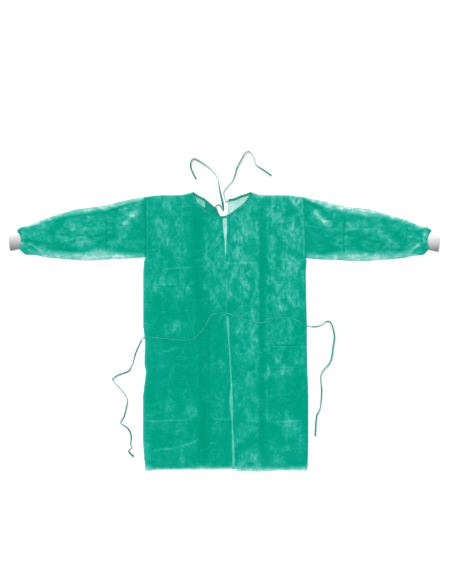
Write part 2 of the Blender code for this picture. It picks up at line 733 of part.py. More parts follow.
# ------------------------------------------------------------------ the gown
def main() -> None:
    """Build every piece of the gown."""
    for old in list(bpy.data.objects):
        bpy.data.objects.remove(old, do_unlink=True)
    gown = bpy.data.collections.new("visitor_gown")
    helpers = bpy.data.collections.new("visitor_gown_helpers")
    for collection in (gown, helpers):
        bpy.context.scene.collection.children.link(collection)

    def cloth_of(piece: str, colour: Sequence[float]) -> bpy.types.Material:
        return material(f"{piece}_cloth", colour, CLOTH_ROUGHNESS)

    panel("front", front_rows_of_points(), cloth_of("front", GREEN), gown)
    for side, name in ((LEFT, "left"), (RIGHT, "right")):
        cloth = cloth_of(f"back_{name}", GREEN)
        half = panel(f"back_{name}", back_rows_of_points(side), cloth, gown)
        if side == LEFT:
            flap = turned_corner(cloth, helpers)
            flap.hide_render = True
            flap.display_type = "WIRE"
            join = half.modifiers.new("Turned corner", "BOOLEAN")
            join.operation = "UNION"
            join.object = flap
        sleeve(side, cloth_of(f"sleeve_{name}", GREEN), gown)
        cuff(side, material(f"cuff_{name}_knit", WHITE, KNIT_ROUGHNESS), gown)
        edge = [NECK_CENTRE + row.out for row in BACK_NECK[side]]
        binding(f"binding_back_{name}", sorted(edge), BACK_NECK[side], surface,
                cloth_of(f"binding_back_{name}", DARK_GREEN), gown,
                opening_way(side) if side == RIGHT else None)
        tape(f"neck_tie_{name}", NECK_TIES[side], surface,
             cloth_of(f"neck_tie_{name}", DARK_GREEN), gown)
    binding("binding_front", [NECK_CENTRE + row.out for row in FRONT_NECK], FRONT_NECK,
            front_underside, cloth_of("binding_front", DARK_GREEN), gown)
    tape("belt", BELT, body_top, cloth_of("belt", DARK_GREEN), gown)


main()
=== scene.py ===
"""The looks of a visitor gown of thin non-woven cloth, laid flat on its back.

Tables and lengths are in millimetres, in the frame's own place: +X to the right as seen from
above, +Y from the hem to the neck and +Z up from the surface that the gown lies on.  Meshes
are in metres.  "Left" and "right" are as seen from above.
"""

import logging
import math
from dataclasses import dataclass
from enum import Enum
from typing import Callable, NamedTuple, Sequence

import bpy
import numpy as np
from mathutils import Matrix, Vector
from mathutils.bvhtree import BVHTree


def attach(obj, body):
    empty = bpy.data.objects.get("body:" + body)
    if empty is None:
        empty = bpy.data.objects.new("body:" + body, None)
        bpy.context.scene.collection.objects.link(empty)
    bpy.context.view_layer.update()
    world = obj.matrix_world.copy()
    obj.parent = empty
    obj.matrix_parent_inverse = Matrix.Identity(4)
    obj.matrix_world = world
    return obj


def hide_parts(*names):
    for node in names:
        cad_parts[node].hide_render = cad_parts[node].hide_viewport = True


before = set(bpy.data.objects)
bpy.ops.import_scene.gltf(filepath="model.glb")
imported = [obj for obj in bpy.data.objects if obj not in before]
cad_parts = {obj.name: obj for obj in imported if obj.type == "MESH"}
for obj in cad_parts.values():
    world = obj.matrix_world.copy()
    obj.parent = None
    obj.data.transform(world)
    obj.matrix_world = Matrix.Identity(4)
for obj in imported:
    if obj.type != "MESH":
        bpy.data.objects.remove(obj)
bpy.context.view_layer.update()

log = logging.getLogger("visitor_gown")

Array = np.ndarray
Socket = bpy.types.NodeSocket
Sockets = dict[str, Socket]
Object, Material = bpy.types.Object, bpy.types.Material
Marks = dict[str, Array]  # values at a piece's points, which its finish reads
Pair = tuple[float, float]
Table = tuple[tuple[float, ...], ...]

MM = 0.001
BODY = "root"

# --- sizes that pieces share
YOKE = 392.4  # rows above this level follow the neck and the shoulders
NECK_LEFT, NECK_RIGHT = -135.0, 115.0  # the neck points
ARMHOLE_TOP, ARMPIT = 490.0, 233.4
OPENING_TOP = {"left": 441.4, "right": 482.4}  # where a back neckline meets its opening
BACK_CORNER = {"left": -31.0, "right": 18.0}
CORNER_LEVEL = -676.0  # the lowest level where the panels' side edges are read
CORNER_INSET = 0.4  # how far inside a half's corners its hem is read
SHEET_WALL = 0.45  # thickness of a ply of cloth
FRONT_SETTLE = 0.4  # how far the thin front lies below its solid's top face
BACK_TOP = 0.6  # top face of a back half where nothing is under it
TAPE_WIDTH = 10.0
TAPE_THICK = 0.9
TAPE_SOLID = 1.0  # thickness of a tape's solid
SEAM = 0.3  # clearance between solids at a seam
PATCH_COVER = 0.20  # how much fibre shows in the middle of a strong patch
PATCH_PALE = 0.13  # how evenly thin the cloth looks there
PALE_CREASE = 0.42  # how strongly a pale crease is painted: partly thinner pressed cloth, partly painted highlight
TABLE_MIDDLE_Y = 2.6  # the tapes' tables were measured from this far below the middle


class Side(Enum):
    """A side of the gown as seen from above."""

    LEFT = "left"
    RIGHT = "right"

    @property
    def sign(self) -> int:
        """-1 on the left and 1 on the right."""
        return -1 if self is Side.LEFT else 1


class Slot(Enum):
    """The record's material slots."""

    CLOTH = "cloth"
    KNIT = "cuff_knit"
    TAPE = "tape"


class Crease(NamedTuple):
    """A crease between two points.  Rise is its height, and tone its painted shade and light."""

    x0: float
    y0: float
    x1: float
    y1: float
    width: float
    rise: float
    # below 0 painted shade, above 0 painted highlight, partly standing for cloth pressed dense or
    # thin
    tone: float = 0.0
    bow: float = 0.0


class Patch(NamedTuple):
    """A patch where the plies stand apart and the fibres show pale."""

    x: float
    y: float
    half_width: float
    half_height: float
    strength: float
    turn: float = 0.0  # degrees anticlockwise


class Band(NamedTuple):
    """An upright band with soft sides and ends: of painted shade, or of a share of pale fibre."""

    left: float
    right: float
    low: float
    high: float
    tone: float


class Bend(NamedTuple):
    """A point of a tape's middle line.  Tilt 0 lies flat, and 90 stands on its edge."""

    x: float
    y: float
    tilt: float


def records(kind: Callable, *rows: tuple[float, ...]) -> tuple:
    """Records of a kind, one for each row of numbers."""
    return tuple(kind(*row) for row in rows)


# --- folds of the front
FRONT_CREASES = records(
    Crease,
    (-322, 414, -127, 417, 3, 0.9, 0.35, 2), (-283, 177, -133, 186, 2.8, 1.2, 0.7, 3),
    (-300, 114, -226, 111, 3, 0.6, 0.3), (-300, 108, -226, 106, 3, -0.4, -0.45),
    (-252, -98, -205, -92, 3, 0.7, 0.5, 2), (-276, -174, -192, -161, 3, 0.7, 0.6, -4),
    (-235, -163, -157, -148, 3, 0.7, 0.6, -5), (-66, -241, -14, -221, 3, 0.7, 0.45, 3),
    (-343, -478, -135, -473, 2.6, 1.2, 0.75, 1), (-343, -471, -135, -466, 2.6, -0.3, -0.35, 1),
    (-313, -607, -209, -596, 2.6, 0.9, 1.1, 3), (-209, -592, -105, -553, 2.6, 0.9, 1.25, -4),
    (86, 331, 130, 346, 3, 0.6, 0.35, 2), (5, 203, 152, 207, 2.6, 0.9, 0.7, 1),
    (235, 203, 338, 203, 2.8, 0.9, 0.4), (237, 56, 324, 56, 2.8, 0.7, 0.35),
    (73, -161, 111, -158, 2.8, 0.5, 0.3), (189, -148, 350, -148, 2.6, -0.4, -1),
    (189, -154, 350, -154, 2.6, 0.8, 0.3), (97, -265, 139, -265, 2.8, 0.6, 0.45),
    (-150, -252, 40, -243, 2.8, 0.6, 0.18), (202, -245, 328, -245, 2.8, 0.8, 0.4),
    (172, -344, 226, -344, 2.8, 0.7, 0.4), (-53, -468, 47, -472, 2.6, 0.8, 0.45),
    (73, -473, 172, -479, 2.6, 0.8, 0.4), (172, -481, 345, -473, 2.6, 1, 0.9, -1),
    (133, -548, 163, -531, 3, 0.6, 0.4), (-235, -446, -209, -403, 3.5, 0.6, 0.3, 3),
    (-270, -394, -322, -420, 3.5, 0.6, 0.35, -4), (-66, -568, -31, -576, 3, 0.6, 0.65),
    (176, -559, 220, -576, 3, 0.6, 0.35, 3), (240, -362, 300, -352, 3, 0.6, 0.35, -4),
    (-83, -46, -40, -83, 3, 0.5, 0.15), (-127, 440, -125, 340, 2.6, -0.3, -0.45),
    (-72, 330, -72, -600, 4, 0.5, 0.1), (176, 470, 176, 20, 3, 0.5, 0.2),
    (160, 440, 158, -640, 5, 0.4, -0.22), (339, 345, 340, 285, 2.6, 0.5, 0.35),
    (186, 120, 188, -620, 3, 0.4, 0.1), (5, 200, 6, -4, 2.4, -0.3, -0.4),
    (9, 120, 9, 50, 2.2, 0.3, 0.35), (8, 40, 9, -16, 2.2, 0.4, 0.8),
    (-100, 60, -98, -650, 3, -0.3, -0.35), (-84, -380, -90, -690, 3, -0.5, -0.65),
    (-120, 210, -112, -30, 3, -0.3, -0.4), (-72, 190, -66, 20, 3, -0.3, -0.45),
    (168, 330, 170, 20, 3, -0.4, -0.35)
)
# Upright bands of painted shade, where the packet's folds leave darker valleys.
FRONT_SHADE_BANDS = records(
    Band,
    (-140, -88, 60, 400, -0.55), (-112, -62, -640, 90, -0.6), (-215, -120, -330, -130, -0.35),
    (-285, -235, -80, 60, -0.22), (150, 180, -640, 450, -0.5), (10, 60, -60, 60, -0.25),
    (190, 330, -420, -290, -0.3), (-340, -300, -400, -260, -0.2), (-330, -140, -30, 60, -0.1)
)
# How much pale fibre shows in each part of the front, apart from its patches.
FRONT_COVER = records(
    Band,
    (-345, -150, 60, 500, 0.11), (-90, -5, 40, 430, 0.13), (5, 160, 20, 480, 0.19),
    (175, 350, 20, 500, 0.21), (-345, -110, -330, 60, 0.028), (-345, -110, -700, -330, 0.032),
    (-80, 20, -700, 40, 0.032), (30, 160, -700, 20, 0.082), (175, 360, -330, 20, 0.085),
    (175, 360, -700, -330, 0.03)
)
FRONT_PATCHES = records(
    Patch,
    (-254, 439, 11, 32, 0.9), (-272, 365, 6, 24, 0.7), (-202, 376, 6, 26, 0.7),
    (-244, 298, 13, 17, 1), (-176, 244, 6, 15, 0.5), (-265, 147, 17, 30, 0.8),
    (-300, 99, 9, 13, 0.6), (-40, 346, 17, 39, 0.8), (-81, 210, 11, 24, 0.6),
    (-14, 212, 13, 39, 0.7), (-34, 97, 37, 24, 0.5), (64, 365, 39, 28, 0.5), (66, 346, 15, 30, 0.8),
    (142, 400, 17, 19, 0.5), (205, 342, 15, 52, 0.6), (306, 348, 35, 28, 1), (313, 465, 32, 19, 1),
    (64, 236, 39, 28, 0.6), (36, 136, 15, 50, 1), (79, 97, 19, 37, 1), (66, 54, 15, 15, 0.7),
    (133, 145, 13, 41, 0.6), (222, 240, 19, 24, 0.6), (306, 229, 35, 35, 0.6),
    (215, 138, 17, 30, 0.7), (296, 114, 24, 37, 1), (244, 17, 15, 17, 1), (298, 28, 22, 19, 0.8),
    (118, -11, 19, 15, 0.6), (66, -76, 15, 24, 0.7), (129, -132, 17, 58, 1),
    (283, -78, 11, 22, 0.6), (235, -215, 11, 15, 0.6), (192, -273, 15, 26, 1),
    (263, -260, 17, 22, 0.9), (73, -262, 9, 19, 0.5), (111, -343, 26, 39, 0.6),
    (200, -366, 19, 15, 0.6), (257, -349, 24, 32, 0.5), (-18, -223, 13, 11, 0.6),
    (-274, -239, 17, 17, 0.4), (-220, -63, 28, 19, 0.8), (-263, 6, 6, 11, 0.5),
    (-200, 56, 13, 22, 0.4), (-166, 97, 17, 19, 0.4), (-339, 108, 9, 35, 0.6),
    (-330, -65, 9, 17, 0.4), (-241, -420, 28, 22, 0.4), (-142, -433, 32, 17, 0.6),
    (-51, -455, 6, 13, 0.9), (194, -455, 9, 13, 0.7), (285, -509, 26, 37, 0.9),
    (105, -529, 19, 22, 0.9), (68, -494, 13, 17, 0.6), (-179, -548, 9, 45, 0.4),
    (-181, -628, 11, 35, 0.9), (131, -620, 19, 30, 1), (231, -643, 19, 19, 0.7),
    (244, -598, 41, 13, 0.5), (88, -654, 11, 17, 0.6), (-337, -635, 11, 54, 0.8),
    (155, 494, 22, 6, 1.4), (-98, -668, 44, 7, 0.3), (78, 330, 34, 56, 0.7),
    (290, 320, 42, 60, 0.6), (10, 150, 30, 90, 0.5), (-270, 400, 40, 60, 0.4),
    (94, 441, 22, 16, 0.8)
)
# How pale the shoulders' edges are, and how far in the paleness goes.
SHOULDER_PALE = {Side.LEFT: (0.5, 5.0), Side.RIGHT: (0.68, 9.0)}
# Where folds cross the front, so that its points lie closer there.
FRONT_FOLD_ROWS = (413.4, 186.4, 203.4, 55.4, -147.6, -245.6, -472.6)
FRONT_FOLD_COLUMNS = (-127.0, -83.0, 155.0, 185.0)

# --- folds of the sleeves
SLEEVE_CREASES = {
    Side.LEFT: records(
        Crease,
        (-516, 425, -512, 236, 2.6, -0.6, -0.7, 3), (-521, 430, -518, 236, 2.6, 0.8, 0.3, 3),
        (-793, 386, -789, 300, 2.6, -0.6, -0.5), (-787, 386, -784, 300, 2.6, 0.7, 0.25),
        (-780, 286, -495, 345, 6, 1.4, -0.3, -8), (-770, 300, -560, 338, 5, 1, 0.25, -6),
        (-856, 293, -779, 250, 6, 1.8, 1.2, 4), (-846, 280, -800, 252, 4, -0.8, -0.55, 3),
        (-889, 306, -800, 296, 5, -0.9, -0.45, 3), (-500, 300, -390, 262, 6, 0.9, 0.15, 5),
        (-440, 450, -395, 400, 6, 1, 0.25, -4), (-668, 423, -343, 484, 4, 0.4, 0.35, -3),
        (-780, 271, -600, 255, 5, -0.5, -0.6, 3), (-505, 428, -352, 478, 6, -0.8, -0.5, 4),
        (-440, 436, -356, 474, 5, 0.8, 0.3, 3), (-740, 330, -520, 352, 5, 0.7, 0.2, 9),
        (-720, 292, -540, 318, 5, 0.7, 0.25, 8), (-700, 306, -560, 330, 4, -0.5, -0.4, 8),
        (-768, 331, -660, 327, 3.5, -0.5, -0.5, 3), (-700, 321, -600, 317, 3.5, 0.5, 0.4, 3),
        (-640, 331, -560, 322, 3.5, -0.4, -0.4, -3), (-441, 366, -371, 440, 12, 0.8, 1.15, 2),
        (-900, 338, -872, 268, 4, 0.4, 0.9, 4), (-880, 290, -856, 262, 4, -0.6, -0.5),
        (-872, 350, -874, 285, 7, 0.3, 0.8, 2)
    ),
    Side.RIGHT: records(
        Crease,
        (523, 431, 519, 232, 2.6, -0.6, -0.7, -3), (529, 431, 525, 232, 2.6, 0.8, 0.3, -3),
        (791, 380, 788, 300, 2.6, -0.6, -0.5), (785, 380, 782, 300, 2.6, 0.7, 0.25),
        (780, 286, 500, 345, 6, 1.4, -0.28, 8), (858, 297, 800, 250, 6, 1.8, 1, -3),
        (855, 276, 815, 250, 4, -0.8, -0.45, -3), (888, 308, 800, 292, 5, -0.9, -0.45, -3),
        (700, 318, 580, 300, 6, 0.9, 0.2, 5), (395, 415, 435, 380, 6, 1, 0.3, 4),
        (350, 482, 761, 400, 4, 0.4, 0.35, 4), (790, 268, 600, 256, 5, -0.5, -0.55, -3),
        (352, 470, 440, 425, 6, -0.8, -0.5, 4), (356, 480, 470, 440, 5, 0.8, 0.3, 3),
        (740, 330, 540, 350, 5, 0.7, 0.2, -9), (730, 290, 560, 316, 5, 0.7, 0.22, -8),
        (700, 306, 560, 328, 4, -0.5, -0.4, -8), (385, 436, 449, 370, 12, 0.8, 1.3, -2),
        (896, 332, 876, 262, 4, 0.4, 0.9, -4), (876, 290, 862, 262, 4, -0.6, -0.5),
        (870, 350, 866, 285, 7, 0.3, 0.8, -2), (768, 336, 676, 331, 3.5, -0.5, -0.45, -3),
        (720, 322, 610, 316, 3.5, 0.5, 0.35, -3)
    ),
}
SLEEVE_PATCHES = {
    Side.LEFT: records(
        Patch,
        (-406, 404, 44, 14, 0.38, 48), (-385, 385, 24, 14, 0.6), (-659, 368, 26, 17, 0.7),
        (-542, 394, 30, 19, 0.6), (-633, 298, 40, 15, 0.7), (-755, 372, 26, 15, 0.8),
        (-720, 315, 48, 22, 0.6), (-600, 350, 30, 16, 0.5), (-876, 330, 9, 28, 0.8),
        (-790, 366, 20, 16, 0.6)
    ),
    Side.RIGHT: records(
        Patch,
        (417, 404, 44, 14, 0.38, -48), (440, 380, 30, 18, 0.6, -40), (553, 376, 28, 24, 0.8),
        (687, 342, 30, 18, 0.5), (796, 359, 28, 15, 0.8), (750, 352, 22, 16, 0.7),
        (631, 300, 34, 20, 0.6), (600, 340, 40, 16, 0.7), (870, 322, 9, 26, 0.8),
        (720, 300, 36, 18, 0.5)
    ),
}
SLEEVE_COVER = {Side.LEFT: 0.14, Side.RIGHT: 0.12}
# How far out the armhole and the mouth are, at a sleeve's upper and lower edge.
ARMHOLE_LINES = {Side.LEFT: (341.05, 340.05), Side.RIGHT: (344.05, 353.05)}
MOUTH_LINE = (890.0, 885.0)
CUFF_DROP = {Side.LEFT: 0.0, Side.RIGHT: 4.0}  # how much lower in the photo a cuff lies
# How far the frayed seam allowance runs on past the sleeve's upper and lower edge, by the share
# of the length.
SLEEVE_FRINGES = {
    Side.LEFT: (
        ((0, 3), (0.08, 10), (0.13, 14), (0.2, 16), (0.26, 16.5), (0.31, 12), (0.42, 9.5),
         (0.5, 11.5), (0.56, 13), (0.64, 11), (0.8, 7), (0.9, 5), (1, 1)),
        ((0, 1), (0.1, 3), (0.5, 3.5), (0.8, 1.5), (1, 0)),
    ),
    Side.RIGHT: (
        ((0, 2), (0.08, 7.5), (0.13, 10.5), (0.17, 14), (0.27, 12.5), (0.33, 8), (0.4, 7),
         (0.46, 7.5), (0.51, 11), (0.58, 7), (0.8, 5), (1, 1)),
        ((0, 5), (0.1, 7), (0.4, 7), (0.6, 5), (0.7, 6), (0.85, 5), (1, 0)),
    ),
}
# How wide the pale strip along a sleeve's upper edge is, by the share of the length.
UPPER_STRIPS = {
    Side.LEFT: (
        (0, 0.4), (0.08, 0.7), (0.2, 1), (0.36, 0.75), (0.52, 0.9), (0.68, 0.65), (0.84, 0.5),
        (1, 0.4),
    ),
    Side.RIGHT: (
        (0, 0.4), (0.05, 0.45), (0.17, 1), (0.33, 0.85), (0.49, 1.3), (0.65, 0.6), (0.81, 0.55),
        (1, 0.4),
    ),
}
# The pale strip along the lower edge: its height and its paleness, by the share of the length.
LOWER_STRIPS = {
    Side.LEFT: (
        (0, 20, 0.55), (0.12, 24, 0.9), (0.24, 36, 0.96), (0.36, 52, 1), (0.48, 39, 0.9),
        (0.6, 36, 0.88), (0.72, 34, 0.82), (0.84, 38, 0.63), (0.93, 30, 0.3), (1, 20, 0),
    ),
    Side.RIGHT: (
        (0, 22, 0.6), (0.07, 24, 0.75), (0.17, 24, 0.8), (0.29, 43, 0.85), (0.41, 46, 0.93),
        (0.53, 33, 0.87), (0.65, 31, 0.8), (0.76, 33, 0.78), (0.84, 38, 0.55), (0.93, 30, 0.3),
        (1, 20, 0),
    ),
}

# --- folds of the hidden sides
HEM_TRIM = {Side.LEFT: 0.0, Side.RIGHT: 4.5}  # how far a half's hem stays above its solid's
BACK_THINNESS = {Side.LEFT: 0.60, Side.RIGHT: 0.97}  # where it shows as a single ply
BACK_CREASES = {
    Side.LEFT: records(
        Crease,
        (-330, 414, -60, 418, 3, 0.3, 0.3, 3), (-320, 186, -20, 190, 3, 0.3, 0.35, -4),
        (-335, -243, 0, -249, 3, 0.3, 0.35, 4), (-335, -474, 10, -470, 3, 0.3, 0.45, -3),
        (-260, 120, -170, 60, 5, 0.3, 0.25, 7), (-210, -360, -120, -330, 5, 0.3, 0.3, -8),
        (-127, -640, -125, 430, 3.5, 0.3, 0.2)
    ),
    Side.RIGHT: records(
        Crease,
        (60, 416, 330, 413, 3, 0.3, 0.3, 3), (40, 203, 335, 200, 3, 0.3, 0.35, 4),
        (40, -245, 340, -250, 3, 0.3, 0.4, -4), (50, -472, 345, -476, 3, 0.3, 0.45, 3),
        (120, 60, 230, 110, 5, 0.3, 0.25, -7), (180, -150, 290, -190, 5, 0.3, 0.3, 8),
        (185, -640, 183, 450, 3.5, 0.3, 0.2)
    ),
}
BACK_PATCHES = {
    Side.LEFT: records(
        Patch,
        (-260, 320, 24, 40, 0.8), (-180, 100, 26, 34, 0.6), (-90, 250, 20, 44, 0.7),
        (-280, -60, 22, 30, 0.6), (-140, -200, 28, 26, 0.7), (-230, -420, 30, 28, 0.8),
        (-70, -520, 24, 30, 0.7), (-290, -600, 18, 36, 0.6), (-92, 462, 12, 14, 0.8)
    ),
    Side.RIGHT: records(
        Patch,
        (280, 340, 30, 36, 0.9), (120, 260, 22, 46, 0.7), (210, 120, 28, 30, 0.8),
        (90, -40, 22, 38, 0.7), (260, -120, 24, 26, 0.6), (140, -330, 30, 30, 0.8),
        (290, -450, 24, 34, 0.7), (110, -580, 26, 28, 0.8)
    ),
}

# --- routes of the tapes
NECK_TIES = {
    Side.LEFT: records(
        Bend,
        (-39.8, 452.6, 78), (-30, 461, 80), (-20, 463, 80), (-12, 450, 70), (-4, 434, 80),
        (-3, 446, 50), (-6, 466, 20), (-13, 497, 45), (-23, 547, 72), (-26, 569, 84),
        (-33, 587, 87), (-51, 609, 86), (-75, 630, 74), (-128, 661, 56), (-138, 660, 72),
        (-146, 638, 52), (-141, 611, 52), (-121, 572, 46)
    ),
    Side.RIGHT: records(
        Bend,
        (16.5, 479.5, -80), (9, 474, -82), (4, 483, -85), (0, 499, -87), (-3, 513, -87),
        (1, 526, -87), (20, 549, -86), (35, 564, -80), (47, 595, -64), (56, 624, -62),
        (73, 656, -64), (90, 687, -80), (100, 694, -88), (111, 692, -87), (129, 664, -80),
        (137, 637, -76), (169, 614, -56), (205, 589, -45)
    ),
}
BELT = records(
    Bend,
    (-391, -628, 42), (-413, -606, 64), (-410, -597, 76), (-398, -587, 80), (-405, -577, 78),
    (-402, -547, 56), (-410, -515, 56), (-430, -494, 78), (-449, -483, 82), (-434, -457, 58),
    (-422, -410, 62), (-419, -379, 80), (-450, -332, 86), (-484, -293, 86), (-462, -277, 64),
    (-411, -256, 60), (-402, -236, 84), (-395, -222, 78), (-382, -178, 58), (-362, -132, 70),
    (-350, -114, 60), (-284, -115, 62), (-208, -122, 62), (-140, -122, 64), (-106, -93, 62),
    (-84, -67, 62), (-56, -18, 62), (-28, -8, 58), (8, -7, 50), (45, -19, 62), (96, -36, 62),
    (147, -48, 62), (172, -47, 62), (198, -32, 62), (286, -29, 62), (318, -39, 62), (357, -62, 70),
    (399, -65, 66), (429, -53, 84), (441, -43, 66), (458, -46, 60), (476, -102, 54),
    (471, -153, 54), (459, -217, 62), (420, -268, 78), (421, -348, 58), (413, -424, 76),
    (401, -447, 60), (393, -540, 50)
)


# --- working out places
def smooth(share: Array | float) -> Array:
    """A soft step from 0 to 1, as share goes from 0 to 1."""
    held = np.clip(share, 0.0, 1.0)
    return held * held * (3.0 - 2.0 * held)


def looked_up(table: Table, at: Array | float) -> Array:
    """The values that a table gives at some places, in straight lines between its rows."""
    return np.interp(at, *zip(*table))


def from_sides(x: Array) -> Array:
    """How far each point of a sheet is from the nearer end of its row."""
    return np.minimum(x - x[:, :1], x[:, -1:] - x)


def from_outline(x: Array, y: Array) -> Array:
    """How far each point of a sheet is from its outline."""
    return np.minimum(from_sides(x), np.minimum(y - y[:1], y[-1:] - y))


def run_of(points: Array) -> Array:
    """How far along a line each of its points is."""
    return np.append(0.0, np.cumsum(np.hypot(*np.diff(points, axis=0).T)))


def ways_along(points: Array) -> tuple[Array, Array]:
    """A flat line's direction at each point, and the direction to the left of it."""
    ways = np.gradient(points, axis=0)
    ways /= np.hypot(*ways.T)[:, None]
    return ways, np.stack((-ways[:, 1], ways[:, 0]), axis=-1)


def crease_share(crease: Crease, x: Array, y: Array) -> Array:
    """How close points are to a crease.

    Args:
        crease: the crease.
        x: the points' places across.
        y: the points' places up.

    Returns:
        1 on the crease's line, falling to 0 beside it and at its ends.
    """
    way = np.array((crease.x1 - crease.x0, crease.y1 - crease.y0))
    length = float(np.hypot(*way))
    way = way / length
    along = ((x - crease.x0) * way[0] + (y - crease.y0) * way[1]) / length
    off = (y - crease.y0) * way[0] - (x - crease.x0) * way[1]
    off = off - crease.bow * 4.0 * along * (1.0 - along)
    ends = smooth(np.minimum(along, 1.0 - along) / 0.16)
    return np.exp(-(off / crease.width) ** 2) * ends


def creased(creases: Sequence[Crease], x: Array, y: Array,
            column: str) -> Array:
    """The sum of one column of the creases, weighted by how close each one is.

    Args:
        creases: the creases.
        x: the points' places across.
        y: the points' places up.
        column: "rise" or "tone".

    Returns:
        The sum at each point.
    """
    total = np.zeros_like(x)
    for crease in creases:
        total = total + getattr(crease, column) * crease_share(crease, x, y)
    return total


def shaded(creases: Sequence[Crease], x: Array, y: Array) -> Array:
    """How the creases shade some points: pale ones are fainter than they are high."""
    tone = creased(creases, x, y, "tone")
    return np.where(tone > 0.0, PALE_CREASE * tone, tone)


def banded(bands: Sequence[Band], x: Array, y: Array, soft: float) -> Array:
    """The sum of the bands' tones at some points.

    Args:
        bands: the bands.
        x: the points' places across.
        y: the points' places up.
        soft: how wide the bands' soft sides are.

    Returns:
        The tone at each point.
    """
    total = np.zeros_like(x)
    for band in bands:
        across = smooth(np.minimum(x - band.left, band.right - x) / soft + 0.5)
        upward = smooth(np.minimum(y - band.low, band.high - y) / (2.0 * soft) + 0.5)
        total = total + band.tone * across * upward
    return total


def patched(patches: Sequence[Patch], x: Array, y: Array) -> Array:
    """How pale the patches make some points, from 0 to 1."""
    total = np.zeros_like(x)
    for patch in patches:
        turn = math.radians(patch.turn)
        along = (x - patch.x) * math.cos(turn) + (y - patch.y) * math.sin(turn)
        off = (y - patch.y) * math.cos(turn) - (x - patch.x) * math.sin(turn)
        far = (along / patch.half_width) ** 2 + (off / patch.half_height) ** 2
        total = np.maximum(total, patch.strength * np.exp(-0.8 * far))
    return total


def swell(x: Array, y: Array, size: float, seed: int) -> Array:
    """A soft unevenness, from about -1 to 1, whose lumps are about size across.

    Args:
        x: the points' places across.
        y: the points' places up.
        size: how far apart the lumps are.
        seed: the seed of the lumps' places.

    Returns:
        The unevenness at each point.
    """
    rng = np.random.default_rng(seed)
    total = np.zeros_like(x)
    waves = 14
    for _ in range(waves):
        angle, phase = rng.uniform(0.0, math.tau, 2)
        pitch = size * rng.uniform(0.7, 2.0)
        along = x * math.cos(angle) + y * math.sin(angle)
        total = total + np.sin(along * math.tau / pitch + phase)
    return total / math.sqrt(waves)


def stations(start: float, end: float, step: float, marks: Sequence[float] = (),
             offsets: Sequence[float] = (0.0,), least: float = 1.2) -> Array:
    """Places from start to end, with closer ones at the marks.

    Args:
        start: the first place.
        end: the last place.
        step: about how far apart the even places are.
        marks: where the closer places go.
        offsets: how far each closer place is from its mark.
        least: how close two places may come.

    Returns:
        The places, in order.
    """
    even = np.linspace(start, end, max(2, round(abs(end - start) / step) + 1))
    close = sorted(mark + offset for mark in marks for offset in offsets
                   if start + least < mark + offset < end - least)
    kept: list[float] = []
    for place in close:
        if not kept or place - kept[-1] >= least:
            kept.append(place)
    fill = [place for place in even[1:-1] if all(abs(place - near) > step * 0.45 for near in kept)]
    return np.array(sorted([start, end] + kept + fill))


def coordinates(mesh: bpy.types.Mesh) -> Array:
    """The places of a mesh's points, in millimetres."""
    flat = np.zeros(len(mesh.vertices) * 3)
    mesh.vertices.foreach_get("co", flat)
    return flat.reshape(-1, 3) / MM


class Solid:
    """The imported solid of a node, which a piece of cloth is laid over."""

    def __init__(self, node: str) -> None:
        """Read the node's mesh, in millimetres."""
        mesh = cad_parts[node].data
        mesh.calc_loop_triangles()
        self.points = coordinates(mesh)
        triangles = np.zeros(len(mesh.loop_triangles) * 3, dtype=int)
        mesh.loop_triangles.foreach_get("vertices", triangles)
        self.triangles = triangles.reshape(-1, 3)
        self.edges = np.concatenate([self.triangles[:, pair] for pair in ((0, 1), (1, 2), (2, 0))])
        self.tree = BVHTree.FromPolygons(self.points.tolist(), self.triangles.tolist())
        self.highest = float(self.points[:, 2].max())

    def _cut(self, axis: int, at: float) -> Pair:
        """The lowest and highest place, on the other axis, where a level cuts the solid."""
        first, second = self.points[self.edges[:, 0]], self.points[self.edges[:, 1]]
        low, high = first[:, axis] - at, second[:, axis] - at
        met = (low * high <= 0.0) & (low != high)
        first, second, low, high = first[met], second[met], low[met], high[met]
        other = 1 - axis
        share = low / (low - high)
        found = first[:, other] + (second[:, other] - first[:, other]) * share
        return float(found.min()), float(found.max())

    def across(self, y: float) -> Pair:
        """The solid's left and right edge at a level."""
        return self._cut(1, y)

    def along(self, x: float) -> Pair:
        """The solid's lower and upper edge at a place across."""
        return self._cut(0, x)

    def top(self, x: float, y: float) -> float:
        """The height of the solid's upper face at a point, or beside its nearest edge."""
        above = Vector((x, y, self.highest + 10.0))
        hit = self.tree.ray_cast(above, Vector((0.0, 0.0, -1.0)))[0]
        if hit is None:
            hit = self.tree.find_nearest(Vector((x, y, self.highest)))[0]
        return float(hit.z)

    def tops(self, x: Array, y: Array) -> Array:
        """The heights of the upper face at many points."""
        found = [self.top(float(a), float(b)) for a, b in zip(x.ravel(), y.ravel())]
        return np.array(found).reshape(x.shape)


# --- making meshes
def grid_faces(rows: int, columns: int, ring: bool = False,
               turned: bool = False) -> list[tuple[int, ...]]:
    """The faces of a grid of points.

    Args:
        rows: how many rows of points there are.
        columns: how many points a row has.
        ring: whether each row closes on itself.
        turned: whether the faces look the other way.

    Returns:
        Four-sided faces that turn from a row's points towards the next row, or away from it.
    """
    faces = []
    for low in range(0, (rows - 1) * columns, columns):
        for c in range(columns if ring else columns - 1):
            after = (c + 1) % columns
            face = (low + c, low + after, low + columns + after, low + columns + c)
            faces.append(face[::-1] if turned else face)
    return faces


def mark(mesh: bpy.types.Mesh, name: str, values: Array) -> None:
    """Give a mesh's points a value that a finish reads by its name."""
    layer = mesh.attributes.new(name, "FLOAT", "POINT")
    layer.data.foreach_set("value", np.asarray(values, dtype=np.float32).ravel())


def link(name: str, data: bpy.types.ID) -> Object:
    """An object in the scene with a mesh, a camera or a light."""
    made = bpy.data.objects.new(name, data)
    bpy.context.scene.collection.objects.link(made)
    return made


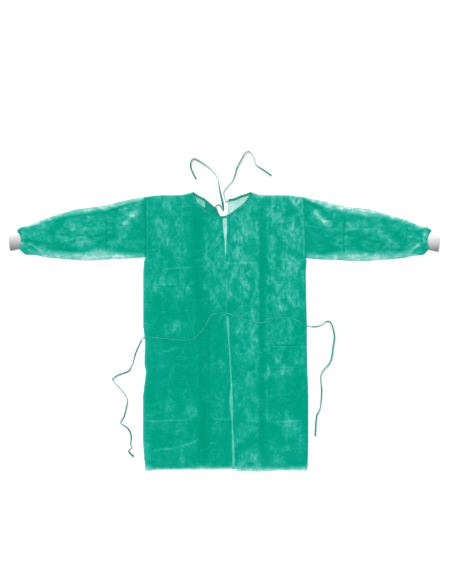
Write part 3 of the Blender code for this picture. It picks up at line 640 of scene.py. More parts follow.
def make_object(name: str, points: Array, faces: Sequence[Sequence[int]], finish: Material,
                marks: Marks | None = None) -> Object:
    """Make an object from points in millimetres.

    Args:
        name: the object's name.
        points: the points, one to a row.
        faces: each face's points.
        finish: the material.
        marks: values at the points for the finish, by name.

    Returns:
        The object, at the origin.
    """
    mesh = bpy.data.meshes.new(name)
    mesh.from_pydata((points.reshape(-1, 3) * MM).tolist(), [], faces)
    mesh.materials.append(finish)
    for key, values in (marks or {}).items():
        mark(mesh, key, values)
    mesh.polygons.foreach_set("use_smooth", [True] * len(mesh.polygons))
    mesh.update()
    return link(name, mesh)


def give_wall(piece: Object, thickness: float) -> None:
    """Give a sheet its thickness, inwards from the face that was made."""
    wall = piece.modifiers.new("Ply", "SOLIDIFY")
    wall.thickness = thickness * MM
    wall.offset = -1.0


def seat(piece: Object, slot: Slot, *nodes: str) -> Object:
    """Let a piece ride on the gown and stand for its solids.

    Args:
        piece: the piece.
        slot: the record's slot; not used.
        nodes: the solids that it stands for.

    Returns:
        The piece.
    """
    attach(piece, BODY)
    if nodes:
        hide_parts(*nodes)
    log.info("%s: %d faces", piece.name, len(piece.data.polygons))
    return piece


def lay(name: str, points: Array, finish: Material, marks: Marks, slot: Slot, node: str,
        faces: Sequence[Sequence[int]] | None = None, wall: float = SHEET_WALL) -> Object:
    """Make a sheet with its thickness, and let it stand for a solid.

    Args:
        name: the piece's name.
        points: the points of its outer face, in rows.
        finish: the material.
        marks: values at the points for the finish, by name.
        slot: the record's slot; not used.
        node: the solid that it stands for.
        faces: each face's points, if they aren't those of an open grid.
        wall: its thickness.

    Returns:
        The piece.
    """
    faces = faces or grid_faces(*points.shape[:2])
    piece = make_object(name, points, faces, finish, marks)
    give_wall(piece, wall)
    return seat(piece, slot, node)


# --- wiring shaders
class Wiring:
    """A node tree, with short calls that add its nodes and join them."""

    def __init__(self, tree: bpy.types.NodeTree) -> None:
        """Work on a tree."""
        self.tree = tree

    def add(self, kind: str, **settings: object) -> bpy.types.Node:
        """Add a node of a kind, with its settings."""
        node = self.tree.nodes.new(kind)
        for name, value in settings.items():
            setattr(node, name, value)
        return node

    def feed(self, socket: Socket, value: object) -> None:
        """Join a socket to another one, or set its value."""
        if isinstance(value, Socket):
            self.tree.links.new(value, socket)
        else:
            socket.default_value = value

    def put(self, node: bpy.types.Node, **values: object) -> bpy.types.Node:
        """Feed a node's inputs by name, with spaces in the names written as underscores."""
        for name, value in values.items():
            self.feed(node.inputs[name.replace("_", " ")], value)
        return node

    def place(self) -> Socket:
        """The place of each point of the piece, in metres."""
        return self.add("ShaderNodeTexCoord").outputs["Object"]

    def math(self, operation: str, *values: object, clamp: bool = False) -> Socket:
        """Add a Math node.

        Args:
            operation: what it does.
            values: its inputs, as numbers or sockets.
            clamp: whether its result is held between 0 and 1.

        Returns:
            Its result.
        """
        node = self.add("ShaderNodeMath", operation=operation, use_clamp=clamp)
        for socket, value in zip(node.inputs, values):
            self.feed(socket, value)
        return node.outputs[0]

    def times(self, *values: object, clamp: bool = False) -> Socket:
        """The product of two values, with a third one added to it where it is given."""
        return self.math("MULTIPLY_ADD" if len(values) > 2 else "MULTIPLY", *values, clamp=clamp)

    def rest(self, value: object) -> Socket:
        """What is left of 1 without a value."""
        return self.math("SUBTRACT", 1.0, value)

    def step(self, value: object, low: object, high: object) -> Socket:
        """A soft step from 0 at low to 1 at high."""
        node = self.add("ShaderNodeMapRange", interpolation_type="SMOOTHSTEP")
        return self.put(node, Value=value, From_Min=low, From_Max=high).outputs[0]

    def noise(self, place: object, scale: object, detail: float = 3.0, roughness: float = 0.55,
              distortion: float = 0.0) -> Socket:
        """A noise texture's value, from 0 to 1."""
        node = self.add("ShaderNodeTexNoise")
        return self.put(node, Vector=place, Scale=scale, Detail=detail, Roughness=roughness,
                        Distortion=distortion).outputs[0]

    def scaled(self, place: object, scale: Sequence[float]) -> Socket:
        """A place with each direction scaled."""
        return self.put(self.add("ShaderNodeMapping"), Vector=place, Scale=scale).outputs[0]

    def mix(self, share: object, first: object, second: object) -> Socket:
        """A colour between two colours."""
        node = self.add("ShaderNodeMix", data_type="RGBA")
        for socket, value in zip((node.inputs[0], *node.inputs[6:8]), (share, first, second)):
            self.feed(socket, value)
        return node.outputs[2]

    def attribute(self, name: str) -> Socket:
        """The value of one of the piece's attributes."""
        return self.add("ShaderNodeAttribute", attribute_name=name).outputs["Fac"]

    def bump(self, height: object, distance: float, strength: float) -> Socket:
        """A normal from a height, whose full rise is distance metres."""
        node = self.add("ShaderNodeBump")
        return self.put(node, Distance=distance, Strength=strength, Height=height).outputs[0]


class Effect:
    """A shader effect that several finishes use, kept as one node group."""

    name = "effect"
    takes: dict[str, tuple[str, object]] = {}
    gives: dict[str, str] = {}

    def wire(self, net: Wiring, given: Sockets) -> dict[str, object]:
        """Build the effect inside its group.

        Args:
            net: the group's wiring.
            given: the group's inputs by name.

        Returns:
            The sockets that the group's outputs take, by name.
        """
        raise NotImplementedError

    def group(self) -> bpy.types.NodeTree:
        """The effect's node group, made the first time that it is asked for."""
        known = bpy.data.node_groups.get(self.name)
        if known is not None:
            return known
        tree = bpy.data.node_groups.new(self.name, "ShaderNodeTree")
        for name, (kind, value) in self.takes.items():
            socket = tree.interface.new_socket(name, in_out="INPUT", socket_type=kind)
            if value is not None:
                socket.default_value = value
        for name, kind in self.gives.items():
            tree.interface.new_socket(name, in_out="OUTPUT", socket_type=kind)
        net = Wiring(tree)
        start, end = net.add("NodeGroupInput"), net.add("NodeGroupOutput")
        given = {name: start.outputs[name] for name in self.takes}
        for name, socket in self.wire(net, given).items():
            net.feed(end.inputs[name], socket)
        return tree

    def place(self, net: Wiring, **values: object) -> Sockets:
        """Put the effect in a material.

        Args:
            net: the material's wiring.
            values: the group's inputs, with spaces in their names written as underscores.

        Returns:
            The group's outputs by name.
        """
        node = net.put(net.add("ShaderNodeGroup", node_tree=self.group()), **values)
        return {name: node.outputs[name] for name in self.gives}


FLOAT, VECTOR = "NodeSocketFloat", "NodeSocketVector"


class FibreCloud(Effect):
    """Drifts of pale fibre: a wispy web where the cloth is thin or stands off what is under it."""

    name = "fibre_cloud"
    takes = {"Vector": (VECTOR, None), "Cover": (FLOAT, 0.1), "Size": (FLOAT, 23.0),
             "Grain": (VECTOR, (1.0, 0.58, 1.0))}
    gives = {"Thinness": FLOAT, "Drift": FLOAT}

    def wire(self, net: Wiring, given: Sockets) -> dict[str, object]:
        """Build the web from clusters, wisps inside them, and single strands in the wisps."""
        along = net.add("ShaderNodeVectorMath", operation="MULTIPLY")
        net.feed(along.inputs[0], given["Vector"])
        net.feed(along.inputs[1], given["Grain"])
        tall = along.outputs[0]
        size = given["Size"]
        cluster = net.noise(tall, size, 3.0, 0.6, 0.3)
        wisp = net.noise(tall, net.times(size, 3.0), 3.0, 0.65, 0.4)
        strand = net.noise(tall, net.times(size, 8.0), 3.0, 0.7, 0.6)
        clustered = net.times(net.step(cluster, 0.37, 0.68), 2.9)
        wisped = net.times(net.step(wisp, 0.34, 0.68), 2.0, 0.06)
        stranded = net.times(net.step(strand, 0.30, 0.72), 1.0, 0.5)
        total = net.times(given["Cover"], net.times(clustered, wisped))
        total = net.times(total, stranded)
        total = net.math("DIVIDE", total, net.times(total, 1.1, 1.0))
        return {"Thinness": total, "Drift": net.times(cluster, wisp)}


class DyeDepth(Effect):
    """The colour of the green cloth: deep where it is dense, milky where it is thin."""

    name = "dye_depth"
    takes = {"Thinness": (FLOAT, 0.0)}
    gives = {"Color": "NodeSocketColor"}
    stops = (
        (0.00, (0.000, 0.278, 0.182)), (0.12, (0.006, 0.328, 0.237)), (0.24, (0.020, 0.363, 0.273)),
        (0.40, (0.055, 0.412, 0.325)), (0.56, (0.120, 0.486, 0.402)), (0.80, (0.375, 0.642, 0.590)),
        (1.00, (0.580, 0.735, 0.700)),
    )
    full = 1.25  # the thinness at the last stop

    def wire(self, net: Wiring, given: Sockets) -> dict[str, object]:
        """Build a ramp through the colours."""
        ramp = net.add("ShaderNodeValToRGB")
        places = ramp.color_ramp.elements
        while len(places) < len(self.stops):
            places.new(0.5)
        for place, (at, colour) in zip(places, self.stops):
            place.position = at
            place.color = (*colour, 1.0)
        net.feed(ramp.inputs["Fac"], net.math("DIVIDE", given["Thinness"], self.full))
        return {"Color": ramp.outputs["Color"]}


class PointBonds(Effect):
    """The small pressed dots, in staggered rows, that hold the fibres together."""

    name = "point_bonds"
    takes = {"Vector": (VECTOR, None), "Pitch": (FLOAT, 620.0)}
    gives = {"Mask": FLOAT}

    def wire(self, net: Wiring, given: Sockets) -> dict[str, object]:
        """Build the dots from cells that sit on a grid turned by an eighth."""
        turn = net.put(net.add("ShaderNodeMapping"), Vector=given["Vector"],
                       Rotation=(0.0, 0.0, math.pi / 4))
        cells = net.put(net.add("ShaderNodeTexVoronoi", voronoi_dimensions="2D"),
                        Vector=turn.outputs[0], Scale=given["Pitch"], Randomness=0.08)
        far = net.step(cells.outputs["Distance"], 0.2, 0.36)
        return {"Mask": net.rest(far)}


class Crumple(Effect):
    """Fine crumples and the lie of the fibres, as a height, and painted shade in their furrows."""

    name = "crumple"
    takes = {"Vector": (VECTOR, None), "Size": (FLOAT, 60.0)}
    gives = {"Height": FLOAT, "Lines": FLOAT, "FurrowShade": FLOAT}

    def wire(self, net: Wiring, given: Sockets) -> dict[str, object]:
        """Build small creases over soft unevenness, fine lines, fibres and painted furrow shade."""
        size = given["Size"]
        wide = net.scaled(given["Vector"], (0.6, 1.15, 1.0))
        creases = net.noise(wide, size, 3.0, 0.55, 0.8)
        creases = net.math("ABSOLUTE", net.math("SUBTRACT", creases, 0.5))
        long = net.scaled(given["Vector"], (0.5, 1.3, 1.0))
        lines = net.noise(long, net.times(size, 0.32), 4.0, 0.6, 0.6)
        lines = net.math("ABSOLUTE", net.math("SUBTRACT", lines, 0.5))
        kept = net.step(net.noise(given["Vector"], 14.0, 2.0), 0.46, 0.62)
        lines = net.rest(net.step(lines, 0.0, 0.030))
        lines = net.times(lines, kept)
        fibres = net.scaled(given["Vector"], (1.0, 0.22, 1.0))
        fibres = net.noise(fibres, net.times(size, 24.0), 2.0, 0.6, 1.5)
        height = net.times(fibres, 0.05, net.times(creases, -1.0))
        apart = net.step(net.noise(given["Vector"], 11.0, 2.0), 0.50, 0.36)
        # Painted shade along the crumples' furrows, where their small shadows fall.
        furrows = net.rest(net.step(creases, 0.0, 0.035))
        return {"Height": net.times(lines, 0.05, height), "Lines": lines,
                "FurrowShade": net.times(furrows, apart)}


class EdgeBand(Effect):
    """A mask that is 1 near an edge, from the distance to it, with a broken inner side."""

    name = "edge_band"
    takes = {"Vector": (VECTOR, None), "Distance": (FLOAT, 100.0), "Reach": (FLOAT, 3.0)}
    gives = {"Mask": FLOAT}

    def wire(self, net: Wiring, given: Sockets) -> dict[str, object]:
        """Let the band's width vary along the edge."""
        uneven = net.step(net.noise(given["Vector"], 60.0, 3.0, 0.65), 0.32, 0.72)
        uneven = net.times(uneven, 1.9, 0.25)
        reach = net.times(given["Reach"], uneven)
        return {"Mask": net.rest(net.step(given["Distance"], 0.0, reach))}


# --- finishes
def new_material(name: str) -> tuple[Material, Wiring, bpy.types.Node]:
    """A material with its wiring and its shader."""
    made = bpy.data.materials.new(name)
    made.use_nodes = True
    return made, Wiring(made.node_tree), made.node_tree.nodes["Principled BSDF"]


@dataclass(frozen=True)
class ClothFinish:
    """Spun-bonded non-woven cloth, dyed green: matt, faintly silky and cloudy."""

    name: str
    edge_reach: float = 3.2
    edge_thinness: float = 0.34
    web_size: float = 23.0
    grain: tuple[float, ...] = (1.0, 0.58, 1.0)  # the web is drawn out where this is small
    # the colour that painted shade and the bond dots darken the cloth towards
    deep: tuple[float, ...] = (0.0, 0.225, 0.135, 1.0)
    roughness: float = 0.62
    one_ply: bool = False  # whether some of it shows as a single ply
    one_ply_thinness: float = 0.90
    line_thinness: float = 0.20
    # how dark the painted shade in the crumples' furrows is
    furrow_shade: float = 0.22
    bond_shade: float = 0.14  # how much darker, glossier and lower the pressed dots are
    bond_gloss: float = -0.16
    bond_depth: float = -0.05
    relief: float = 0.006  # full height of the crumples' bump, metres
    relief_strength: float = 0.6
    specular: float = 0.004

    def material(self) -> Material:
        """Build the cloth.

        Returns:
            The material.  It reads the attributes cover, tone and edge, and single and
            veil if some of the piece shows as a single ply.  Tone holds painted shade and highlight
            besides the cloth's own paleness.
        """
        made, net, shader = new_material(self.name)
        place = net.place()
        tone = net.attribute("tone")
        cloud = FibreCloud().place(net, Vector=place, Cover=net.attribute("cover"),
                                   Size=self.web_size, Grain=self.grain)
        bonds = PointBonds().place(net, Vector=place)
        crumple = Crumple().place(net, Vector=place)
        edge = EdgeBand().place(net, Vector=place, Distance=net.attribute("edge"),
                                Reach=self.edge_reach)

        # Positive tone pales the cloth: its own thin, frayed or loose parts, and painted highlight
        # on creases.
        lighter = net.times(tone, 1.0, clamp=True)
        streak = net.times(cloud["Drift"], 1.2, 0.65)
        thinness = net.times(lighter, streak, cloud["Thinness"])
        thinness = net.times(crumple["Lines"], self.line_thinness, thinness)
        thinness = net.times(edge["Mask"], self.edge_thinness, thinness)
        if self.one_ply:
            alone = net.step(net.attribute("single"), -0.9, 1.3)
            veil = net.times(cloud["Drift"], 0.8, self.one_ply_thinness - 0.2)
            veil = net.times(cloud["Thinness"], 0.5, veil)
            veil = net.math("ADD", veil, net.attribute("veil"))
            rest = net.times(thinness, net.rest(alone))
            thinness = net.times(alone, veil, rest)
        dye = DyeDepth().place(net, Thinness=thinness)

        # Negative tone darkens: painted shade in folds and creases, and dark seams; furrows add
        # painted shade.
        darker = net.times(tone, -1.0, clamp=True)
        darker = net.times(crumple["FurrowShade"], self.furrow_shade, darker)
        pressed = net.times(bonds["Mask"], self.bond_shade, darker, clamp=True)
        height = net.times(bonds["Mask"], self.bond_depth, crumple["Height"])
        net.put(shader, Base_Color=net.mix(pressed, dye["Color"], self.deep),
                Roughness=net.times(bonds["Mask"], self.bond_gloss, self.roughness),
                Normal=net.bump(height, self.relief, self.relief_strength),
                Specular_IOR_Level=self.specular)
        return made


@dataclass(frozen=True)
class TapeFinish:
    """The folded strip of the same cloth, pressed denser, with pale edges, partly painted
    highlight.
    """

    name: str
    base: tuple[float, ...] = (0.012, 0.225, 0.155, 1.0)
    rim_paleness: float = 0.85
    roughness: float = 0.6
    bond_gloss: float = -0.14
    relief: float = 0.0006
    relief_strength: float = 0.6
    specular: float = 0.015

    def material(self) -> Material:
        """Build the tape.

        Returns:
            The material.  It reads the attributes rim, the pale folded edges with painted
            highlight and painted light added, and leg, which is 1 where the strip lies flat on a
            panel and looks like it.
        """
        made, net, shader = new_material(self.name)
        place = net.place()
        cloud = FibreCloud().place(net, Vector=place, Cover=0.12, Size=60.0)
        bonds = PointBonds().place(net, Vector=place)
        crumple = Crumple().place(net, Vector=place, Size=140.0)
        rim = net.times(net.attribute("rim"), self.rim_paleness)
        dye = DyeDepth().place(net, Thinness=net.math("ADD", cloud["Thinness"], rim))
        shown = net.math("ADD", net.attribute("leg"), net.attribute("rim"), clamp=True)
        shown = net.times(cloud["Drift"], 0.5, shown, clamp=True)
        net.put(shader, Base_Color=net.mix(shown, self.base, dye["Color"]),
                Roughness=net.times(bonds["Mask"], self.bond_gloss, self.roughness),
                Normal=net.bump(crumple["Height"], self.relief, self.relief_strength),
                Specular_IOR_Level=self.specular)
        return made


@dataclass(frozen=True)
class KnitFinish:
    """White ribbed knit of textured yarn, with painted shade below and between its loops."""

    name: str
    base: tuple[float, ...] = (0.76, 0.76, 0.78, 1.0)
    # the colour that the painted shade darkens the knit towards
    shade: tuple[float, ...] = (0.21, 0.205, 0.22, 1.0)
    stitches: float = 900.0
    roughness: float = 0.85

    def material(self) -> Material:
        """Build the knit: rows of small loops and fuzz, with painted shade between loops and below.
        """
        made, net, shader = new_material(self.name)
        place = net.place()
        loops = net.add("ShaderNodeTexWave", wave_type="BANDS", bands_direction="X",
                        wave_profile="SIN")
        net.put(loops, Scale=self.stitches / math.tau, Distortion=1.2, Detail=1.0, Vector=place)
        fuzz = net.noise(place, 1400.0, 2.0, 0.6)
        crumple = Crumple().place(net, Vector=place, Size=90.0)
        # Painted shade: darker in the valleys between the loops, and down the cuff's lower side.
        valley_and_lower_shade = net.times(net.rest(loops.outputs["Fac"]), fuzz)
        valley_and_lower_shade = net.times(valley_and_lower_shade, 0.25, net.attribute("painted_shade"), clamp=True)
        loops = net.times(loops.outputs["Fac"], 0.5)
        height = net.times(fuzz, 0.5, loops)
        height = net.times(crumple["Height"], 0.6, height)
        net.put(shader, Base_Color=net.mix(valley_and_lower_shade, self.base, self.shade),
                Normal=net.bump(height, 0.0004, 0.6), Roughness=self.roughness,
                Sheen_Weight=0.25, Specular_IOR_Level=0.2)
        return made


@dataclass(frozen=True)
class ThreadFinish:
    """Spun sewing thread."""

    name: str
    base: tuple[float, ...] = (0.02, 0.30, 0.21, 1.0)
    light: tuple[float, ...] = (0.10, 0.46, 0.36, 1.0)
    twist: float = 2600.0

    def material(self) -> Material:
        """Build the thread, with its fine twist."""
        made, net, shader = new_material(self.name)
        place = net.place()
        twist = net.noise(place, self.twist, 2.0, 0.5)
        net.put(shader, Base_Color=net.mix(twist, self.base, self.light),
                Normal=net.bump(twist, 0.0001, 0.5), Roughness=0.5)
        return made


# --- things that repeat
class GeometryTree:
    """A Geometry Nodes tree that turns guide lines into many small shapes."""

    name = "shapes"
    sizes: dict[str, float] = {}

    def wire(self, net: Wiring, lines: Socket, given: Sockets) -> Socket:
        """Build the shapes along the lines, and return their geometry."""
        raise NotImplementedError

    def tree(self) -> bpy.types.NodeTree:
        """The tree, made the first time that it is asked for."""
        known = bpy.data.node_groups.get(self.name)
        if known is not None:
            return known
        tree = bpy.data.node_groups.new(self.name, "GeometryNodeTree")
        tree.interface.new_socket("Geometry", in_out="INPUT", socket_type="NodeSocketGeometry")
        for name, value in self.sizes.items():
            tree.interface.new_socket(name, in_out="INPUT", socket_type=FLOAT).default_value = value
        tree.interface.new_socket("Finish", in_out="INPUT", socket_type="NodeSocketMaterial")
        tree.interface.new_socket("Geometry", in_out="OUTPUT", socket_type="NodeSocketGeometry")
        net = Wiring(tree)
        start, end = net.add("NodeGroupInput"), net.add("NodeGroupOutput")
        lines = net.put(net.add("GeometryNodeMeshToCurve"), Mesh=start.outputs["Geometry"])
        given = {name: start.outputs[name] for name in self.sizes}
        shapes = self.wire(net, lines.outputs["Curve"], given)
        plain = net.put(net.add("GeometryNodeRealizeInstances"), Geometry=shapes)
        finish = net.put(net.add("GeometryNodeSetMaterial"),
                         Geometry=plain.outputs["Geometry"], Material=start.outputs["Finish"])
        net.put(end, Geometry=finish.outputs["Geometry"])
        return tree

    def run(self, name: str, lines: Sequence[Array], finish: Material,
            **sizes: float) -> Object:
        """Make the shapes along some guide lines.

        Args:
            name: the new object's name.
            lines: each guide line's points, in millimetres.
            finish: the material.
            sizes: the tree's sizes, with spaces in their names written as underscores.

        Returns:
            A plain mesh object.
        """
        points = np.concatenate([np.asarray(line, dtype=float) for line in lines])
        edges, start = [], 0
        for line in lines:
            edges += [(start + k, start + k + 1) for k in range(len(line) - 1)]
            start += len(line)
        guide_mesh = bpy.data.meshes.new(name + "_guide")
        guide_mesh.from_pydata((points * MM).tolist(), edges, [])
        guide = link(name + "_guide", guide_mesh)
        modifier = guide.modifiers.new("Shapes", "NODES")
        modifier.node_group = self.tree()
        values: dict[str, object] = {key.replace("_", " "): size for key, size in sizes.items()}
        values["Finish"] = finish
        for item in self.tree().interface.items_tree:
            if item.in_out == "INPUT" and item.name in values:
                modifier[item.identifier] = values[item.name]
        bpy.context.view_layer.update()
        evaluated = guide.evaluated_get(bpy.context.evaluated_depsgraph_get())
        mesh = bpy.data.meshes.new_from_object(evaluated)
        mesh.name = name
        made = link(name, mesh)
        guide.modifiers.clear()
        bpy.data.objects.remove(guide, do_unlink=True)
        return made


class StitchRow(GeometryTree):
    """Stitches laid end to end along a seam."""

    name = "stitch_row"
    sizes = {"Pitch": 0.0045, "Length": 0.0032, "Thickness": 0.0005}

    def wire(self, net: Wiring, lines: Socket, given: Sockets) -> Socket:
        """Put a short thread on each step of the seam, turned along it."""
        steps = net.put(net.add("GeometryNodeResampleCurve", mode="LENGTH"), Curve=lines,
                        Length=given["Pitch"])
        thread = net.put(net.add("GeometryNodeMeshCylinder"), Vertices=6,
                         Radius=net.times(given["Thickness"], 0.5), Depth=given["Length"])
        turn = net.put(net.add("FunctionNodeAlignRotationToVector", axis="Z"),
                       Vector=net.add("GeometryNodeInputTangent").outputs[0])
        laid = net.put(net.add("GeometryNodeInstanceOnPoints"), Points=steps.outputs["Curve"],
                       Instance=thread.outputs["Mesh"], Rotation=turn.outputs["Rotation"])
        return laid.outputs["Instances"]


class RibRow(GeometryTree):
    """Rounded ribs that follow lines along a knit."""

    name = "rib_row"
    sizes = {"Radius": 0.0008}  # metres, as in every tree

    def wire(self, net: Wiring, lines: Socket, given: Sockets) -> Socket:
        """Sweep a small ring along each line."""
        ring = net.put(net.add("GeometryNodeCurvePrimitiveCircle", mode="RADIUS"),
                       Resolution=8, Radius=given["Radius"])
        swept = net.put(net.add("GeometryNodeCurveToMesh"), Curve=lines,
                        Profile_Curve=ring.outputs["Curve"], Fill_Caps=True)
        return swept.outputs["Mesh"]


# --- body
@dataclass
class FrontPanel:
    """The front: one ply that lies on the two back halves, with the packet's folds."""

    column: float = 7.0
    row: float = 6.5
    side_reach: float = 60.0  # how far in the columns follow the side edges
    hem_reach: float = 50.0  # how far up the rows follow the hem
    stripe_zone: Pair = (-12.0, 52.0)
    stripe_step: float = 2.6
    low_narrowing: float = 0.8  # how much of the opening's sides stays dark below the waist
    low_veil: float = -0.32  # how much less thin the single ply looks there
    swell_rise: float = 0.35
    hem_fringe: Table = (  # how far the frayed hem runs on, across
        (-345, 2), (-335, 6.5), (-300, 6.5), (-250, 5.5), (-150, 6), (-125, 11.5), (-114, 14.5),
        (-70, 15.5), (-45, 9), (-20, 5.5), (45, 5.5), (58, 14), (75, 14), (110, 12), (160, 10.5),
        (290, 10.5), (350, 10),
    )
    hem_drop: float = 0.9  # how far the fringe sinks
    least_height: float = 0.8  # of its upper face, where it reaches the surface beside the back
    hem_pale: Table = (  # its paleness, by the height above it
        (0, 1.25), (3, 1.15), (7, 0.92), (11, 0.7), (15, 0.46), (19, 0.28), (24, 0.1), (30, 0),
    )
    hem_spread: Table = (  # how far up it is pale, across
        (-345, 0.8), (-325, 1.2), (-300, 0.5), (-250, 0.42), (-160, 0.42), (-120, 0.7), (-60, 0.75),
        (-20, 0.55), (10, 0.5), (45, 1), (110, 1.15), (150, 0.95), (250, 0.8), (340, 0.9),
    )
    top_fringe: Table = (  # how far the shoulders' edges run on
        (-345, 3), (-290, 3), (-240, 0.5), (-135, 0), (115, 0), (220, 0.5), (270, 2), (310, 3),
        (350, 2.5),
    )
    side_fringe: Pair = (2.0, 1.2)  # and the left and right edges below
    hem_rows: tuple[float, ...] = (2.0, 4.3)  # extra rows, this far above the hem
    corner_inset: float = 0.3  # how far inside the corners the hem and the top are read
    side_inset: float = 0.3  # how far inside its sides, hem and top the solid's height is read
    hem_inset: float = 0.6
    top_inset: float = 0.4
    hem_drop_reach: float = 4.0
    side_drop: float = 0.5  # how far the frayed sides sink
    side_drop_reach: float = 2.0
    side_pale: float = 0.38
    side_pale_reach: float = 8.0
    shoulder_soft: float = 6.0
    seam_dark: float = 0.42
    seam_dark_width: float = 2.6
    seam_pale: float = 0.12
    seam_pale_at: float = 7.0  # how far in from the seam the turned ply shows
    seam_pale_width: float = 3.0
    seam_clear: float = 12.0  # how far in from an armhole seam other edges count again
    seam_soft: float = 4.0
    seam_far: float = 100.0  # what is added to an edge's distance where it doesn't count
    seam_end: float = 4.0  # over how far the seam's shade ends at the armpit and the top
    # How uneven the hem's pale strip is in height and in paleness: lump size, share and seed.
    hem_uneven: tuple[float, float, int] = (40.0, 0.15, 11)
    hem_mottle: tuple[float, float, int] = (22.0, 0.12, 12)
    opening_top: float = 380.0  # the highest level where the gap between the halves is read
    opening_levels: int = 400
    lump: float = 60.0  # size of the cloth's slight unevenness
    lump_seed: int = 4
    lump_reach: float = 30.0  # over how far from the outline it grows
    band_soft: float = 10.0
    # how dark the bands' painted shade is
    band_tone: float = 0.35
    band_cover: float = 1.5  # how much fewer pale fibres show in a band of painted shade
    cover_soft: float = 34.0
    waist: float = 60.0  # the level under which the opening's strip is darker
    narrowing_reach: float = 120.0
    veil_reach: float = 60.0
    flat: Pair = (0.72, 1.21)
    flat_area: float = 0.83

    def __post_init__(self) -> None:
        """Read the solid that the front is laid over."""
        self.solid = Solid("front")
        self.halves = {side: Solid(f"back_{side.value}") for side in Side}

    def columns(self) -> Array:
        """Places across, at the width of the yoke."""
        left, right = self.solid.across(YOKE)
        fine = np.arange(*self.stripe_zone, self.stripe_step)
        marks = list(FRONT_FOLD_COLUMNS) + [NECK_LEFT, NECK_RIGHT, left + 5.0, right - 5.0]
        folds = stations(left, right, self.column, marks, (-4.0, -2.0, 0.0, 2.0, 4.0), 0.9)
        clear = [x for x in folds if not self.stripe_zone[0] - 2 < x < self.stripe_zone[1] + 1]
        return np.array(sorted(clear + list(fine)))

    def placed(self, columns: Array, y: float) -> Array:
        """The columns at a level, where the outer ones follow the side edges."""
        first, last = columns[0], columns[-1]
        left, right = self.solid.across(y)
        out = float(self.below_armpit(np.array(y)))
        left, right = left - self.side_fringe[0] * out, right + self.side_fringe[1] * out
        near_left = 1.0 - smooth((columns - first) / self.side_reach)
        near_right = 1.0 - smooth((last - columns) / self.side_reach)
        return columns + (left - first) * near_left + (right - last) * near_right

    @staticmethod
    def below_armpit(y: Array) -> Array:
        """1 at the levels below the armholes, and 0 above."""
        return smooth((ARMPIT - 2.0 - y) / 10.0)

    def lattice(self) -> tuple[Array, Array]:
        """The places across and up of the panel's points, in rows from the hem."""
        columns = self.columns()
        low = self.placed(columns, CORNER_LEVEL)
        hems = self.ends_at(low, 0) - looked_up(self.hem_fringe, low)
        levels = stations(float(np.mean(hems)), YOKE, self.row, FRONT_FOLD_ROWS,
                          (-5.0, -2.5, 0.0, 2.5, 5.0))
        levels = np.concatenate((levels[:1], levels[0] + np.array(self.hem_rows), levels[1:]))
        xs, ys = [], []
        for level in levels:
            near = 1.0 - smooth((level - levels[0]) / self.hem_reach)
            xs.append(self.placed(columns, max(level, CORNER_LEVEL)))
            ys.append(level + (hems - levels[0]) * near)
        top = self.placed(columns, ARMHOLE_TOP)
        tops = self.ends_at(top, 1) + looked_up(self.top_fringe, top)
        climbs = round((float(tops.max()) - YOKE) / self.row)
        for k in range(1, climbs + 1):
            level = min(ARMHOLE_TOP, YOKE + (ARMHOLE_TOP - YOKE) * k / climbs)
            xs.append(self.placed(columns, level))
            ys.append(YOKE + (tops - YOKE) * k / climbs)
        return np.array(xs), np.array(ys)

    def ends_at(self, places: Array, end: int) -> Array:
        """The solid's lower (0) or upper (1) edge at places across, from corner to corner."""
        held = np.clip(places, places[0] + self.corner_inset, places[-1] - self.corner_inset)
        return np.array([self.solid.along(float(x))[end] for x in held])

    def free_edge(self, x: Array, y: Array, edge: Array) -> Array:
        """The distance to the outline where it is free, and far along the armhole seams."""
        beside = smooth((from_sides(x) - self.seam_clear) / self.seam_soft)
        return edge + self.seam_far * self.by_armhole(y) * (1.0 - beside)

    def hemmed(self, x: Array, y: Array) -> Array:
        """The pale shade of the frayed hem, stronger near the opening and on the right."""
        size, share, seed = self.hem_uneven
        spread = looked_up(self.hem_spread, x) * (1.0 + share * swell(x, y, size, seed))
        size, share, seed = self.hem_mottle
        mottle = 1.0 - share + share * swell(x, y, size, seed)
        return looked_up(self.hem_pale, (y - y[:1]) / spread) * mottle

    def edges_pale(self, x: Array, y: Array) -> Array:
        """The pale shade along the shoulders and down the left edge."""
        shade = self.side_pale * np.exp(-(x - x[:, :1]) / self.side_pale_reach)
        shade = shade * self.below_armpit(y)
        for side, beyond in ((Side.LEFT, NECK_LEFT - x), (Side.RIGHT, x - NECK_RIGHT)):
            pale, reach = SHOULDER_PALE[side]
            along = smooth(beyond / self.shoulder_soft)
            shade = shade + pale * np.exp(-(y[-1:] - y) / reach) * along
        return shade

    def by_armhole(self, y: Array) -> Array:
        """1 at the levels of the armhole seams, and 0 above and below them."""
        return smooth((y - ARMPIT) / self.seam_end) * smooth((ARMHOLE_TOP - y) / self.seam_end)

    def seamed(self, x: Array, y: Array) -> Array:
        """The shade of the armhole seams: a dark edge, and the pale turned ply inside it."""
        sides = from_sides(x)
        dark = np.exp(-(sides / self.seam_dark_width) ** 2)
        pale = np.exp(-((sides - self.seam_pale_at) / self.seam_pale_width) ** 2)
        return (self.seam_pale * pale - self.seam_dark * dark) * self.by_armhole(y)

    def opening_distance(self, x: Array, y: Array) -> Array:
        """How far each point is inside the gap between the two back halves."""
        levels = np.linspace(CORNER_LEVEL, self.opening_top, self.opening_levels)
        left = [self.halves[Side.LEFT].across(float(level))[1] for level in levels]
        right = [self.halves[Side.RIGHT].across(float(level))[0] for level in levels]
        return np.minimum(x - np.interp(y, levels, left), np.interp(y, levels, right) - x)

